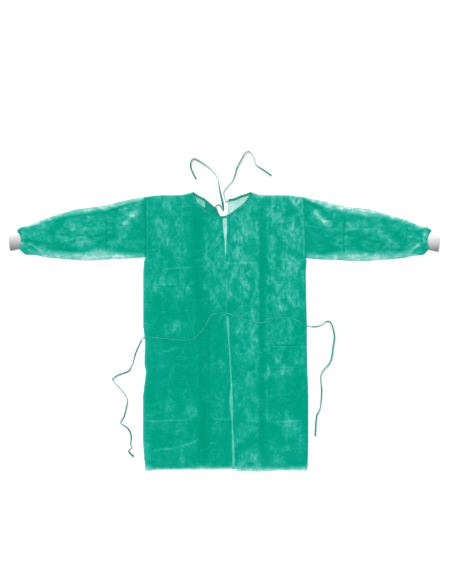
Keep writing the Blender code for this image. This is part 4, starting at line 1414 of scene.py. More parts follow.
    def heights(self, x: Array, y: Array) -> Array:
        """The height of the panel's upper face at its points."""
        hem = y[:1] + looked_up(self.hem_fringe, x)
        highest = y[-1:] - looked_up(self.top_fringe, x) - self.top_inset
        out = self.below_armpit(y[:, :1])
        within = np.clip(x, x[:, :1] + (self.side_fringe[0] + self.side_inset) * out,
                         x[:, -1:] - (self.side_fringe[1] + self.side_inset) * out)
        z = self.solid.tops(within, np.clip(y, hem + self.hem_inset, highest)) - FRONT_SETTLE
        z = z - self.hem_drop * smooth((hem - y) / self.hem_drop_reach)
        near_side = smooth((self.side_drop_reach - from_sides(x)) / self.side_drop_reach)
        z = z - self.side_drop * out * near_side
        z = np.maximum(z, self.least_height)
        z += creased(FRONT_CREASES, x, y, "rise")
        lumps = 1.0 + swell(x, y, self.lump, self.lump_seed)
        return z + self.swell_rise * lumps * smooth(from_outline(x, y) / self.lump_reach)

    def marks(self, x: Array, y: Array) -> Marks:
        """What the cloth's finish reads at the points."""
        # The bands are painted shade in the folds' valleys.
        bands = banded(FRONT_SHADE_BANDS, x, y, self.band_soft)
        patches = patched(FRONT_PATCHES, x, y)
        cover = banded(FRONT_COVER, x, y, self.cover_soft) + PATCH_COVER * patches
        cover = cover * np.clip(1.0 + self.band_cover * bands, 0.1, 1.0)
        tone = shaded(FRONT_CREASES, x, y) + self.band_tone * bands + PATCH_PALE * patches
        tone = tone + self.hemmed(x, y) + self.seamed(x, y) + self.edges_pale(x, y)
        narrowing = self.low_narrowing * smooth((self.waist - y) / self.narrowing_reach)
        return {"cover": cover, "tone": tone, "edge": self.free_edge(x, y, from_outline(x, y)),
                "single": self.opening_distance(x, y) - narrowing,
                "veil": self.low_veil * smooth((self.waist - y) / self.veil_reach)}

    def build(self) -> Object:
        """Make the panel and the stitches of its armholes."""
        x, y = self.lattice()
        points = np.stack((x, y, self.heights(x, y)), axis=-1)
        finish = ClothFinish("front_cloth", one_ply=True).material()
        piece = lay("front_panel", points, finish, self.marks(x, y), Slot.CLOTH, "front")
        rows = np.flatnonzero((y[:, 0] > ARMPIT + 4.0) & (y[:, 0] < ARMHOLE_TOP - 3.0))
        for side, at in ((Side.LEFT, 1), (Side.RIGHT, -2)):
            Stitching(f"stitches_armhole_{side.value}").build([points[rows, at]])
        return piece


@dataclass
class BackHalf:
    """One back half, which lies on the surface under the front."""

    side: Side
    columns: int = 46
    row: float = 8.0
    hem_reach: float = 50.0  # how far up the rows follow the hem
    top_level: float = 489.0  # the level of the outer top corner
    top_clear: Pair = (9.0, 19.0)  # how far inside its ends the top is read
    climbs: int = 14
    cover: float = 0.09
    front_span: Pair = (-340.0, 350.0)  # where the front's own edges are read
    front_places: int = 300
    flat: Pair = (0.37, 1.21)
    flat_area: float = 0.41

    def __post_init__(self) -> None:
        """Read the solids that the half is laid over and under."""
        self.solid = Solid(f"back_{self.side.value}")
        self.front = Solid("front")

    def ends(self, y: float) -> Pair:
        """The half's outer and inner edge at a level below its neckline's inner end."""
        left, right = self.solid.across(min(y, OPENING_TOP[self.side.value]))
        return (left, right) if self.side is Side.LEFT else (right, left)

    def lattice(self) -> tuple[Array, Array]:
        """The places across and up of the half's points, from its outer edge to its inner."""
        shares = np.linspace(0.0, 1.0, self.columns)
        low_outer, low_inner = self.ends(CORNER_LEVEL)
        low = low_outer + (low_inner - low_outer) * shares
        clear = np.clip(low, min(low_outer, low_inner) + CORNER_INSET,
                        max(low_outer, low_inner) - CORNER_INSET)
        hems = np.array([self.solid.along(float(x))[0] for x in clear]) + HEM_TRIM[self.side]
        levels = stations(float(np.mean(hems)), YOKE, self.row)
        xs, ys = [], []
        for level in levels:
            outer, inner = self.ends(max(level, CORNER_LEVEL))
            near = 1.0 - smooth((level - levels[0]) / self.hem_reach)
            xs.append(outer + (inner - outer) * shares)
            ys.append(level + (hems - levels[0]) * near)
        yoke = xs[-1]
        at_top = self.ends if self.side is Side.RIGHT else self.solid.across
        top_outer = at_top(self.top_level)[0]
        top = top_outer + (BACK_CORNER[self.side.value] - top_outer) * shares
        ends = self.solid.points[:, 0]
        reach = np.clip(top, ends.min() + self.top_clear[0], ends.max() - self.top_clear[1])
        tops = np.array([self.solid.along(float(x))[1] for x in reach])
        for k in range(1, self.climbs + 1):
            share = k / self.climbs
            xs.append(yoke + (top - yoke) * share)
            ys.append(YOKE + (tops - YOKE) * share)
        return np.array(xs), np.array(ys)

    def beyond_front(self, x: Array, y: Array) -> Array:
        """How far each point shows past the front's neckline or its hem."""
        places = np.linspace(*self.front_span, self.front_places)
        edges = [self.front.along(float(place)) for place in places]
        low = np.interp(x, places, [edge[0] for edge in edges])
        high = np.interp(x, places, [edge[1] for edge in edges])
        return np.maximum(y - high, low - y)

    def build(self) -> Object:
        """Make the half."""
        x, y = self.lattice()
        if self.side is Side.RIGHT:
            x, y = x[:, ::-1], y[:, ::-1]
            z = np.maximum(self.solid.tops(x, y) - (1.0 - BACK_TOP), BACK_TOP)
        else:
            z = np.full_like(x, BACK_TOP)
        creases = BACK_CREASES[self.side]
        points = np.stack((x, y, z + creased(creases, x, y, "rise")), axis=-1)
        single = self.beyond_front(x, y)
        if self.side is Side.LEFT:
            single = np.where(y > YOKE, np.minimum(single, TurnedCorner.inner - x), single)
        patches = patched(BACK_PATCHES[self.side], x, y)
        marks = {"cover": self.cover + PATCH_COVER * patches, "tone": shaded(creases, x, y),
                 "edge": from_outline(x, y), "single": single}
        finish = ClothFinish(f"back_{self.side.value}_cloth", one_ply=True,
                             one_ply_thinness=BACK_THINNESS[self.side]).material()
        piece = lay(f"back_panel_{self.side.value}", points, finish, marks, Slot.CLOTH,
                    f"back_{self.side.value}")
        return piece


@dataclass
class TurnedCorner:
    """The left half's top corner, turned over onto the half, with the fold it turns on."""

    levels: tuple[float, ...] = (396.4, 410.4, 424.4, 431.4, 439.4, 455.4, 470.4)
    outer: tuple[float, ...] = (-12.0, -18.0, -24.0, -38.0, -50.0, -67.0, -81.0)
    inner: float = -83.0
    fold_top: float = 424.4  # the highest level where the fold joins the half
    spans: int = 14
    top: float = 2.3  # height of the solid's upper face
    roll: Table = (  # the fold's points: how far out and up from the upper face
        (0, 0), (0.7, -0.2), (1.1, -0.7), (0.9, -1.2), (0.3, -1.45),
    )
    free_roll: float = 0.25  # share of the roll where the ply ends without a fold
    wave: float = 0.12
    flat: Pair = (0.07, 0.075)
    flat_area: float = 0.0034

    def build(self) -> Object:
        """Make the turned ply, rolled down along its fold."""
        levels = stations(self.levels[0], self.levels[-1], 3.0, self.levels, (0.0,), 0.8)
        top = self.top - FRONT_SETTLE
        rows = []
        for y in levels:
            outer = float(np.interp(y, self.levels, self.outer))
            xs = np.linspace(self.inner, outer - 1.2, self.spans)
            row = [(x, y, top + self.wave * math.sin(x * 0.35 + y * 0.2)) for x in xs]
            reach = 1.0 if y <= self.fold_top + 0.1 else self.free_roll
            row += [(outer - 1.1 + out * reach, y, top + up * reach) for out, up in self.roll]
            rows.append(row)
        points = np.array(rows)
        shape = points.shape[:2]
        marks = {"cover": np.full(shape, 0.03), "tone": np.full(shape, -0.1),
                 "edge": np.full(shape, 40.0)}
        finish = ClothFinish("turned_corner_cloth").material()
        piece = lay("turned_corner", points, finish, marks, Slot.CLOTH, "back_left")
        return piece


# --- sleeves and cuffs
@dataclass
class Sleeve:
    """A sleeve: a flattened tube of cloth, gathered into its cuff."""

    side: Side
    step: float = 5.0
    spans: int = 38
    edge_drops: tuple[float, ...] = (0.0, 0.6, 2.0, 4.5, 8.0, 12.5)
    roll: float = 4.5  # how far in the tube's long edges are rounded
    middle: float = 1.2  # height of the tube's long edges
    gathers: int = 11
    gather_rise: float = 1.3
    gather_reach: float = 95.0
    swell_rise: float = 0.5
    length: float = 545.0  # from the armhole to the mouth
    seam_reach: float = 10.0  # over how far the sleeve comes down to its seam
    seam_height: float = 1.35  # height of its upper ply there, just under the front's
    seam_tuck: float = 1.5  # how far that ply runs on under the front
    ends_clear: Pair = (1.3, 0.15)  # from the solid's two ends, where it is read
    mouth_reach: float = 45.0
    mouth: Table = (  # how far the mouth stands out, up its width
        (0, -6), (0.06, -1), (0.16, 1), (0.26, -2), (0.4, -7), (0.62, -8), (0.8, -4), (0.92, 3),
        (1, 8),
    )
    ease: float = 9.0  # over how far the long edges are smoothed
    upper_pale: Table = (  # the upper strip's paleness, inwards
        (0, 0.35), (1.5, 0.55), (4, 1.02), (6.5, 0.88), (10.5, 0.66), (15, 0.64), (19, 0.56),
        (23.5, 0.3), (28, 0.08), (33, 0),
    )
    lower_pale: Table = (  # the lower strip's, in shares of its height
        (0, 0.7), (0.05, 0.9), (0.09, 1), (0.17, 0.9), (0.28, 0.98), (0.5, 0.88), (0.65, 0.74),
        (0.8, 0.5), (0.95, 0.26), (1.15, 0),
    )
    # How far from the armhole the cloth is evenly dark, above and below the middle.
    plain_reach: Pair = (45.0, 140.0)
    lump: float = 45.0  # size of the cloth's slight unevenness
    lump_reach: float = 25.0  # over how far from the long edges it grows
    least_height: float = 1.9  # of the upper ply
    mouth_rise: float = 28.0  # over what length the cloth rises over the cuff
    mouth_sides: float = 0.12  # share of the width where it comes down beside the cuff
    under_shift: float = 14.0  # how far the under ply's folds lie from those above
    under_share: float = 0.3
    under_most: float = 0.6
    pleat_tone: float = 0.25
    mouth_dark: float = 0.35
    mouth_lift: float = 0.2  # how far the under ply stands off the surface at the mouth
    mouth_height: float = 4.8  # least height of the cloth over the cuff at the mouth
    flat: Pair = (0.52, 0.56)
    flat_area: float = 0.215

    def __post_init__(self) -> None:
        """Read the solid, and the slanted lines of the armhole and the mouth."""
        self.solid = Solid(f"sleeve_{self.side.value}")
        sign = self.side.sign
        armhole, armpit = ARMHOLE_LINES[self.side]
        self.upper = (sign * armhole, sign * MOUTH_LINE[0])
        self.lower = (sign * armpit, sign * MOUTH_LINE[1])

    def outline(self, ends: Pair, share: float, high: bool) -> Array:
        """A point of the sleeve's upper or lower edge, at a share of its length."""
        x = ends[0] + (ends[1] - ends[0]) * share
        eased = np.clip(abs(x) + np.array((-self.ease, 0.0, self.ease)),
                        abs(ends[0]) + self.ends_clear[0], abs(ends[1]) - self.ends_clear[1])
        found = [self.solid.along(self.side.sign * float(place))[int(high)] for place in eased]
        fringe = float(looked_up(SLEEVE_FRINGES[self.side][int(not high)], share))
        level = float(np.dot(found, (0.25, 0.5, 0.25)))
        return np.array((x, level + (fringe if high else -fringe)))

    def rings(self) -> tuple[Array, Array, Array]:
        """The tube's points in rings, the share of the length and the distance to an edge."""
        count = round(self.length / self.step)
        rings, shares, edges = [], [], []
        for k in range(count + 1):
            share = k / count
            top = self.outline(self.upper, share, True)
            low = self.outline(self.lower, share, False)
            width = float(np.hypot(*(top - low)))
            drops = [drop / width for drop in self.edge_drops]
            even = np.linspace(drops[-1], 1.0 - drops[-1], self.spans)[1:-1]
            across = np.array(drops + list(even) + [1.0 - drop for drop in drops[::-1]])
            near = np.minimum(across, 1.0 - across) * width
            round_off = np.sqrt(np.clip(1.0 - (1.0 - np.clip(near / self.roll, 0, 1)) ** 2, 0, 1))
            xs, ys = low[0] + (top[0] - low[0]) * across, low[1] + (top[1] - low[1]) * across
            crown = self.crown(xs, ys, across, share, near)
            to_mouth = (share * self.length - self.length + self.mouth_reach) / self.mouth_reach
            xs = xs + self.side.sign * looked_up(self.mouth, across) * smooth(to_mouth)
            tucked = self.side.sign * self.seam_tuck * round_off * (k == 0)
            crown = self.middle + (crown - self.middle) * round_off
            upper = np.stack((xs - tucked, ys, crown), axis=-1)
            under = self.middle * (1.0 - round_off) + self.under(xs, ys, near)
            under = under + self.mouth_lift * smooth((share - 0.94) / 0.06)
            lower = np.stack((xs, ys, under), axis=-1)[1:-1][::-1]
            rings.append(np.concatenate((upper, lower)))
            shares.append(np.full(len(rings[-1]), share))
            edges.append(np.concatenate((near, near[1:-1][::-1])))
        return np.array(rings), np.array(shares), np.array(edges)

    def strips(self, across: Array, edge: Array,
               share: Array) -> tuple[Array, Array]:
        """The pale shades along the upper and the lower edge."""
        uneven = 0.93 + 0.07 * np.sin(share * 61.0) * np.sin(share * 23.0 + 1.0)
        along = smooth(share / 0.02) * smooth((1.0 - share) / 0.08) * uneven
        wide = looked_up(UPPER_STRIPS[self.side], share)
        upper = looked_up(self.upper_pale, edge / wide) * along * (across > 0.5)
        shares, heights, levels = zip(*LOWER_STRIPS[self.side])
        inward = edge / np.interp(share, shares, heights)
        lower = looked_up(self.lower_pale, inward) * np.interp(share, shares, levels)
        return upper, lower * smooth(share / 0.02) * uneven * (across < 0.5)

    def gathered(self, across: Array, share: float) -> Array:
        """The pleats near the cuff, uneven in height, at shares of the width."""
        fade = smooth(1.0 - (1.0 - share) * self.length / self.gather_reach)
        phase = across * self.gathers * math.pi + 0.6 * np.sin(across * 9.0 + self.side.sign)
        uneven = 0.6 + 0.4 * np.sin(across * 23.0 + 1.3 * self.side.sign)
        return self.gather_rise * fade * uneven * np.sin(phase) ** 2

    def crown(self, x: Array, y: Array, across: Array, share: float,
              near: Array) -> Array:
        """The height of the upper ply."""
        z = np.array([self.solid.top(float(a), float(b)) for a, b in zip(x, y)])
        z = z + creased(SLEEVE_CREASES[self.side], x, y, "rise")
        lumps = 1.0 + swell(x, y, self.lump, 7 + self.side.sign)
        z = z + self.swell_rise * lumps * smooth(near / self.lump_reach)
        z = np.maximum(z + self.gathered(across, share), self.least_height)
        by_mouth = smooth(1.0 - (1.0 - share) * self.length / self.mouth_rise)
        over_cuff = smooth(np.minimum(across, 1.0 - across) / self.mouth_sides)
        z = np.maximum(z, self.mouth_height * by_mouth * over_cuff)
        joined = 1.0 - smooth(share * self.length / self.seam_reach)
        return z + (self.seam_height - z) * joined

    def under(self, x: Array, y: Array, near: Array) -> Array:
        """How far the lower ply stands off the surface: shallow folds like those above."""
        folds = creased(SLEEVE_CREASES[self.side], x + self.under_shift, y, "rise")
        rise = np.clip(np.abs(folds) * self.under_share, 0.0, self.under_most)
        return rise * smooth(near / 12.0)

    def build(self) -> Object:
        """Make the sleeve."""
        points, share, edge = self.rings()
        x, y = points[..., 0], points[..., 1]
        tone = shaded(SLEEVE_CREASES[self.side], x, y)
        across = (y - y.min(axis=1, keepdims=True)) / np.ptp(y, axis=1)[:, None]
        pleat = np.stack([self.gathered(row, float(s[0])) for row, s in zip(across, share)])
        pleat = pleat / self.gather_rise - self.mouth_dark * smooth((share - 0.83) / 0.17)
        tone = tone + self.pleat_tone * pleat
        upper, lower = self.strips(across, edge, share)
        tone = tone * (1.0 - np.clip(lower, 0.0, 0.8)) + upper + lower
        patches = patched(SLEEVE_PATCHES[self.side], x, y)
        tone = tone + PATCH_PALE * patches
        cover = SLEEVE_COVER[self.side] + PATCH_COVER * patches
        cover = cover * (1.0 - 0.7 * np.clip(lower, 0.0, 1.0))
        above, below = self.plain_reach
        plain = above + (below - above) * smooth((0.72 - across) / 0.3)
        cover = cover * (0.2 + 0.8 * smooth(share * self.length / plain))
        marks = {"cover": cover, "tone": tone, "edge": edge + 20.0 * smooth((0.5 - across) * 9.0)}
        finish = ClothFinish(f"sleeve_{self.side.value}_cloth", grain=(0.62, 0.95, 1.0),
                             edge_thinness=0.0).material()
        faces = grid_faces(*x.shape, ring=True, turned=self.side is Side.RIGHT)
        piece = lay(f"sleeve_tube_{self.side.value}", points, finish, marks, Slot.CLOTH,
                    f"sleeve_{self.side.value}", faces)
        return piece


@dataclass
class Cuff:
    """A short tube of ribbed knit, flattened to a soft barrel."""

    side: Side
    # Its upper and its lower edge, at the sleeve and at the wrist.
    near_ends: Table = ((890.3, 340.4), (885.6, 268.4))
    far_ends: Table = ((934, 323.4), (927, 260.4))
    length: float = 45.0
    height: float = 8.5
    squareness: float = 0.75  # 1 is an oval section, and less is boxier
    tuck_lift: float = 0.55  # how far it lies off the surface inside the sleeve
    wall: float = 0.6
    ribs: int = 68
    rib_radius: float = 0.62
    rings: int = 12
    points: int = 92
    tuck: float = 13.0  # how far the cuff reaches up inside the sleeve's mouth
    fullness: Table = (  # its height, from the tuck to the wrist
        (-0.3, 0.3), (-0.12, 0.34), (0, 0.45), (0.15, 0.66), (0.35, 0.9), (0.6, 1), (1, 0.92),
    )
    fade: float = 58.0  # over what height the painted shade on its lower side grows to full
    flat: Pair = (0.145, 0.052)

    def __post_init__(self) -> None:
        """Set the lines of the cuff's two ends, from its upper to its lower edge."""
        drop = CUFF_DROP[self.side]
        self.near, self.far = (
            [np.array((self.side.sign * x, y - drop)) for x, y in ends]
            for ends in (self.near_ends, self.far_ends))
        self.white_above = 326.0 - 2.0 * drop

    def ring(self, share: float, inset: float, count: int) -> Array:
        """Points round the cuff.

        Args:
            share: 0 at the sleeve and 1 at the wrist.
            inset: how far inside the outer face the points are.
            count: how many points there are.

        Returns:
            The points.
        """
        top, low = (near + (far - near) * share for near, far in zip(self.near, self.far))
        middle, half = (top + low) / 2, (top - low) / 2
        size = float(np.hypot(*half))
        rise = self.height / 2 * float(looked_up(self.fullness, share))
        lift = self.tuck_lift * (1.0 - smooth(share / 0.12))
        found = []
        for k in range(count):
            angle = math.tau * k / count
            wide, tall = (math.copysign(abs(part) ** self.squareness, part)
                          for part in (math.cos(angle), math.sin(angle)))
            spot = middle + half * wide * (size - inset) / size
            found.append((spot[0], spot[1], lift + rise + tall * (rise - inset)))
        return np.array(found)

    def spaced(self, share: float, inset: float, count: int) -> Array:
        """Points round the cuff, as far apart on its flat faces as at its edges."""
        fine = self.ring(share, inset, self.points * 4)
        fine = np.vstack((fine, fine[:1]))
        run = np.append(0.0, np.cumsum(np.linalg.norm(np.diff(fine, axis=0), axis=1)))
        even = np.arange(count) * run[-1] / count
        return np.stack([np.interp(even, run, fine[:, axis]) for axis in range(3)], axis=-1)

    def painted_lower_shade(self, y: Array) -> Array:
        """How strong the painted shade on the knit's lower side is, from its upper edge down."""
        return np.clip((self.white_above - y) / self.fade, 0.0, 1.0)

    def build(self) -> Object:
        """Make the cuff's wall and its ribs."""
        knit = KnitFinish(f"cuff_{self.side.value}_knit").material()
        shares = np.linspace(-self.tuck / self.length, 1.0, self.rings)
        valley = self.rib_radius * 0.75
        rings = np.array([self.ring(float(s), valley, self.points) for s in shares])
        faces = grid_faces(self.rings, self.points, ring=True, turned=self.side is Side.LEFT)
        wall = lay(f"cuff_knit_{self.side.value}", rings, knit,
                   {"painted_shade": self.painted_lower_shade(rings[..., 1])}, Slot.KNIT,
                   f"cuff_{self.side.value}", faces, self.wall)
        spread = np.array([self.spaced(float(s), self.rib_radius, self.ribs) for s in shares])
        ribs = RibRow().run(f"cuff_ribs_{self.side.value}", list(spread.transpose(1, 0, 2)), knit,
                            Radius=self.rib_radius * MM)
        mark(ribs.data, "painted_shade", self.painted_lower_shade(coordinates(ribs.data)[:, 1]))
        seat(ribs, Slot.KNIT)
        return wall


# --- neck binding
@dataclass
class Binding:
    """A folded strip over a neckline: a rolled edge outside it and a leg on the panel."""

    name: str
    node: str
    left: float
    right: float
    under: float  # lower end of the strip's outer wall
    blends: bool = False  # whether the leg looks like the panel that it lies on
    stitched: int = 2  # the profile's point that the stitches run along
    inner_highlight: float = 0.3  # painted highlight along the leg's inner edge
    step: float = 3.0
    thickness: float = 0.5
    samples: int = 160  # places where the panel's neckline is read
    passes: int = 4  # how often the line is smoothed
    inset: float = 4.0  # how far inside the edge the solid's height is read
    width: float = 0.0135  # its flat width, metres
    profile: Table = (
        (-9, -0.75), (-8.8, -0.15), (-7, 0), (-5.6, -0.2), (-4.2, 0.05), (-2.6, 0.2), (-1, 0.15),
        (0.3, -0.15), (1.1, -0.7), (1.3, -1.4),
    )

    def __post_init__(self) -> None:
        """Read the solids of the binding and of the panel that it edges."""
        self.solid = Solid(self.node)
        self.panel = Solid(self.node.replace("binding_", ""))

    def edge(self) -> Array:
        """The neckline's points from left to right, evenly apart and softly smoothed."""
        xs = np.linspace(self.left + 0.05, self.right - 0.05, self.samples)
        ys = np.array([self.panel.along(float(x))[1] for x in xs])
        run = run_of(np.stack((xs, ys), axis=-1))
        even = np.linspace(0.0, run[-1], round(run[-1] / self.step) + 1)
        points = np.stack((np.interp(even, run, xs), np.interp(even, run, ys)), axis=-1)
        for _ in range(self.passes):
            points[1:-1] = points[1:-1] * 0.5 + (points[:-2] + points[2:]) * 0.25
        return points

    def build(self) -> Object:
        """Make the strip."""
        edge = self.edge()
        run, rows = run_of(edge), []
        for here, out, at in zip(edge, ways_along(edge)[1], run):
            inside = here - out * self.inset
            top = self.solid.top(float(inside[0]), float(inside[1])) - 0.3
            ripple = 0.16 * math.sin(at * 0.55) + 0.12 * math.sin(at * 0.23 + 1.0)
            row = [(*(here + out * (reach + ripple * 0.6)), top + rise + ripple)
                   for reach, rise in self.profile]
            middle = (top - 1.4 + self.under) / 2
            row += [(*(here + out * 1.25), middle), (*(here + out), self.under)]
            rows.append(row)
        points = np.array(rows)
        rim, leg = np.zeros(points.shape[:2]), np.zeros(points.shape[:2])
        if self.blends:
            # Painted highlight along the leg's inner edge.
            rim[:, :2] = self.inner_highlight
            leg[:, :7] = (1.0, 1.0, 1.0, 1.0, 1.0, 0.6, 0.1)
        faces = grid_faces(*points.shape[:2], turned=True)
        finish = TapeFinish(self.name + "_tape").material()
        piece = lay(self.name, points, finish, {"rim": rim, "leg": leg}, Slot.TAPE, self.node,
                    faces, self.thickness)
        Stitching(f"stitches_{self.name}").build([points[1:-1, self.stitched]])
        return piece


@dataclass
class Stitching:
    """Rows of short stitches, half sunk in the cloth."""

    name: str
    pitch: float = 4.2
    length: float = 2.9
    thread: float = 0.45
    proud: float = 0.06  # how far the threads' middle lines stand off the cloth

    def build(self, lines: Sequence[Array]) -> Object:
        """Make the stitches.

        Args:
            lines: each row's points on the cloth, in millimetres.

        Returns:
            The stitches.
        """
        thread = bpy.data.materials.get("seam_thread") or ThreadFinish("seam_thread").material()
        lifted = [np.asarray(line) + (0.0, 0.0, self.proud) for line in lines]
        stitches = StitchRow().run(self.name, lifted, thread, Pitch=self.pitch * MM,
                                   Length=self.length * MM, Thickness=self.thread * MM)
        return seat(stitches, Slot.TAPE)


# --- tapes
def table_top(x: float, y: float) -> float:
    """The height of the surface that the gown lies on."""
    return 0.0


def body_top() -> Callable[[float, float], float]:
    """A function for the height of what the belt lies on: the front, or the surface beside it."""
    solid = Solid("front")
    beside = 4.0

    def height(x: float, y: float) -> float:
        """The height at a point."""
        left, right = solid.across(y)
        if left - beside < x < right + beside:
            return solid.top(min(max(x, left), right), y) + SEAM
        return 0.0

    return height


@dataclass
class Tape:
    """A flat tape along a route: it stands on its edge where it bends."""

    name: str
    node: str
    bends: tuple[Bend, ...]
    ground: Callable[[float, float], float]
    rests_on: tuple[str, ...] = ()
    body_tilt: float = 12.0  # how it lies where it is folded over on the body, degrees
    body_width: float = 3.4
    drop_tilt: float = 84.0  # how it stands where it comes down beside the body
    route_step: float = 2.0
    steepest_twist: float = 4.0  # degrees a millimetre
    steepest_climb: float = 0.15
    window: int = 4  # points on each side that lift a point of the route
    edge_tilt: float = 66.0  # tilt from which the standing tape is painted pale, as light coming through it
    # how pale the folded edges are: thinner cloth, with painted highlight
    rim_share: float = 0.35
    # painted highlight on the belt where it lies on the body
    body_highlight: float = 0.32
    # painted light where the tape stands on its edge
    edge_light: float = 0.5
    upright: float = 88.0  # the tilt of a tape that stands on its edge
    width: float = 0.010  # metres
    crown: Table = (
        (0.5, 0), (0.47, 0.42), (0.36, 0.5), (0, 0.46), (-0.36, 0.5), (-0.47, 0.42), (-0.5, 0),
        (-0.47, -0.42), (-0.36, -0.5), (0, -0.46), (0.36, -0.5), (0.47, -0.42),
    )

    def route(self) -> Array:
        """Points along a smooth curve through the bends, with their tilts."""
        rows = [np.array((b.x, b.y - TABLE_MIDDLE_Y, b.tilt), dtype=float) for b in self.bends]
        rows = [2 * rows[0] - rows[1]] + rows + [2 * rows[-1] - rows[-2]]
        points = []
        for four in zip(rows, rows[1:], rows[2:], rows[3:]):
            knots = [0.0]
            for a, b in zip(four, four[1:]):
                knots.append(knots[-1] + math.sqrt(np.hypot(*(b - a)[:2])))
            count = max(2, round(float(np.hypot(*(four[2] - four[1])[:2])) / self.route_step))
            for k in range(count):
                at = knots[1] + (knots[2] - knots[1]) * k / count
                points.append(self.between(four, knots, at))
        points.append(rows[-2])
        return np.array(points)

    @staticmethod
    def between(four: Sequence[Array], knots: Sequence[float], at: float) -> Array:
        """The smooth curve's point at a knot value between the second and third of four."""
        def blend(first: Array, second: Array, low: float, high: float) -> Array:
            """The point between two points at the knot value."""
            return first + (second - first) * (at - low) / (high - low)

        a, b, c = (blend(four[k], four[k + 1], knots[k], knots[k + 1]) for k in range(3))
        ab = blend(a, b, knots[0], knots[2])
        bc = blend(b, c, knots[1], knots[3])
        return blend(ab, bc, knots[1], knots[2])

    def tilts(self, route: Array, steps: Array, headings: Array) -> Array:
        """How far the tape is turned up at each point: more where it bends tightly."""
        along = np.append(0, np.cumsum(steps))
        turn = np.abs(np.gradient(headings)) / np.gradient(along)
        stands = np.degrees(np.arccos(1 / np.maximum(turn * TAPE_WIDTH, 1.0)))
        tilts = np.maximum(np.abs(route[:, 2]), stands)
        return self.no_steeper(tilts, steps, self.steepest_twist)

    @staticmethod
    def no_steeper(values: Array, steps: Array, slope: float) -> Array:
        """Raise values until none falls away faster than the slope, either way."""
        raised = values.copy()
        for k in range(1, len(raised)):
            raised[k] = max(raised[k], raised[k - 1] - slope * steps[k - 1])
        for k in range(len(raised) - 2, -1, -1):
            raised[k] = max(raised[k], raised[k + 1] - slope * steps[k])
        return raised

    def heights(self, places: Array, sides: Array, tilts: Array,
                steps: Array) -> Array:
        """The height of what the tape lies on, under each point of its route."""
        half = TAPE_WIDTH / 2 * np.cos(np.radians(tilts)) + TAPE_SOLID
        under = [max(self.ground(*(place + side * reach * share)) for share in (-1, 0, 1))
                 for place, side, reach in zip(places, sides, half)]
        under = np.array([max(under[max(0, k - self.window):k + self.window + 1])
                          for k in range(len(under))])
        return self.no_steeper(under, steps, self.steepest_climb)

    def build(self) -> Object:
        """Make the tape."""
        route = self.route()
        places = route[:, :2]
        steps = np.hypot(*np.diff(places, axis=0).T)
        ways, sides = ways_along(places)
        headings = np.unwrap(np.arctan2(ways[:, 1], ways[:, 0]))
        tilts = self.tilts(route, steps, headings)
        under = self.heights(places, sides, tilts, steps)
        on_body = smooth((under - 1.0) / 1.5)
        tilts = tilts + (self.body_tilt - tilts) * on_body
        tilts = np.maximum(tilts, self.drop_tilt * smooth(6.0 * on_body * (1.0 - on_body)))
        widths = TAPE_WIDTH + (self.body_width - TAPE_WIDTH) * on_body
        rises = (widths * np.sin(np.radians(tilts)) + TAPE_SOLID * np.cos(np.radians(tilts))) / 2
        on_edge = smooth((tilts - self.edge_tilt) / (self.upright - self.edge_tilt))
        turned = np.radians(tilts) * np.sign(self.bends[0].tilt)
        rings, rims, legs = [], [], []
        for place, side, tilt, height, width, above, edge in zip(
                places, sides, turned, under + rises, widths, on_body, on_edge):
            wide = np.array((*(side * math.cos(tilt)), math.sin(tilt)))
            thick = np.array((*(side * -math.sin(tilt)), math.cos(tilt)))
            centre = np.array((*place, height))
            ring = [centre + wide * width * a + thick * TAPE_THICK * b for a, b in self.crown]
            rings.append(ring)
            # Pale folded edges, with painted highlight on the body and painted light where the tape
            # stands up.
            rim = self.rim_share * (np.abs([a for a, _ in self.crown]) > 0.46)
            rims.append(np.maximum(rim, max(self.body_highlight * above, self.edge_light * edge)))
            legs.append(np.full(len(self.crown), above))
        points = np.array(rings)
        count, size = points.shape[:2]
        faces = grid_faces(count, size, ring=True, turned=True)
        faces.append(tuple(range(size)))
        faces.append(tuple((count - 1) * size + k for k in reversed(range(size))))
        finish = TapeFinish(self.name + "_tape").material()
        marks = {"rim": np.array(rims), "leg": np.array(legs)}
        piece = make_object(self.name, points, faces, finish, marks)
        seat(piece, Slot.TAPE, self.node)
        return piece


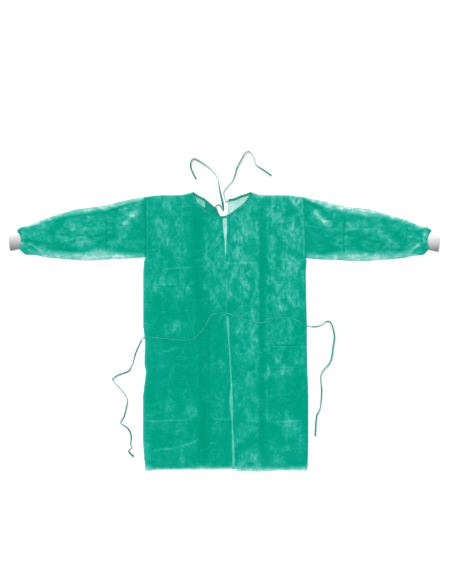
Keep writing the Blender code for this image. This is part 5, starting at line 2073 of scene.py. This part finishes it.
# --- room
@dataclass
class Studio:
    """The floor, the light and the camera."""

    height: float = 6.0  # camera above the surface, metres
    frame_height: float = 2.529  # what the photo's height covers, metres
    middle: Pair = (0.0076, 0.0818)
    sensor: float = 36.0
    floor_size: float = 16.0
    sky: float = 0.94
    key_strength: float = 1.8
    key_angle: float = 0.5  # how wide the key light looks, radians
    key_way: tuple[float, float, float] = (0.35, -0.95, -0.95)

    def camera(self) -> None:
        """A camera straight above, framed as in the photo."""
        data = bpy.data.cameras.new("camera")
        data.sensor_width = self.sensor
        data.lens = self.sensor * self.height / self.frame_height
        data.clip_end = 100.0
        made = link("camera", data)
        made.location = (*self.middle, self.height)
        bpy.context.scene.camera = made

    def light(self) -> None:
        """A white sky and a wide soft light from beyond the neck."""
        world = bpy.data.worlds.new("studio")
        world.use_nodes = True
        Wiring(world.node_tree).put(world.node_tree.nodes["Background"],
                                    Color=(1.0, 1.0, 1.0, 1.0), Strength=self.sky)
        bpy.context.scene.world = world
        data = bpy.data.lights.new("key", "SUN")
        data.energy = self.key_strength
        data.angle = self.key_angle
        way = Vector(self.key_way).to_track_quat("-Z", "Y")
        link("key", data).rotation_euler = way.to_euler()

    def floor(self) -> None:
        """A plain white floor."""
        made, net, shader = new_material("floor")
        place = net.place()
        grain = net.noise(place, 3.0, 2.0)
        colour = net.mix(grain, (0.93, 0.93, 0.93, 1.0), (0.95, 0.95, 0.95, 1.0))
        net.put(shader, Base_Color=colour, Roughness=0.9, Specular_IOR_Level=0.0)
        half = self.floor_size / 2 / MM
        corners = np.array([(-half, -half, 0), (half, -half, 0), (half, half, 0), (-half, half, 0)])
        make_object("floor", corners, [(0, 1, 2, 3)], made)

    def build(self) -> None:
        """Set up the room."""
        scene = bpy.context.scene
        scene.view_settings.view_transform = "Standard"
        self.camera()
        self.light()
        self.floor()


# --- the gown
def main() -> None:
    """Build the room and every piece of the gown."""
    logging.basicConfig(level=logging.INFO, format="%(name)s: %(message)s")
    Studio().build()
    for side in Side:
        BackHalf(side).build()
    TurnedCorner().build()
    FrontPanel().build()
    for side in Side:
        Sleeve(side).build()
        Cuff(side).build()
    Binding("neck_binding_left", "binding_back_left", NECK_LEFT, BACK_CORNER["left"], 0.1).build()
    Binding("neck_binding_right", "binding_back_right", BACK_CORNER["right"], NECK_RIGHT,
            0.1).build()
    Binding("neck_binding_front", "binding_front", NECK_LEFT, NECK_RIGHT, 1.4, True).build()
    for side in Side:
        Tape(f"tie_{side.value}", f"neck_tie_{side.value}", NECK_TIES[side], table_top).build()
    Tape("belt_tape", "belt", BELT, body_top(), ("front_panel",)).build()


if __name__ == "__main__":
    main()
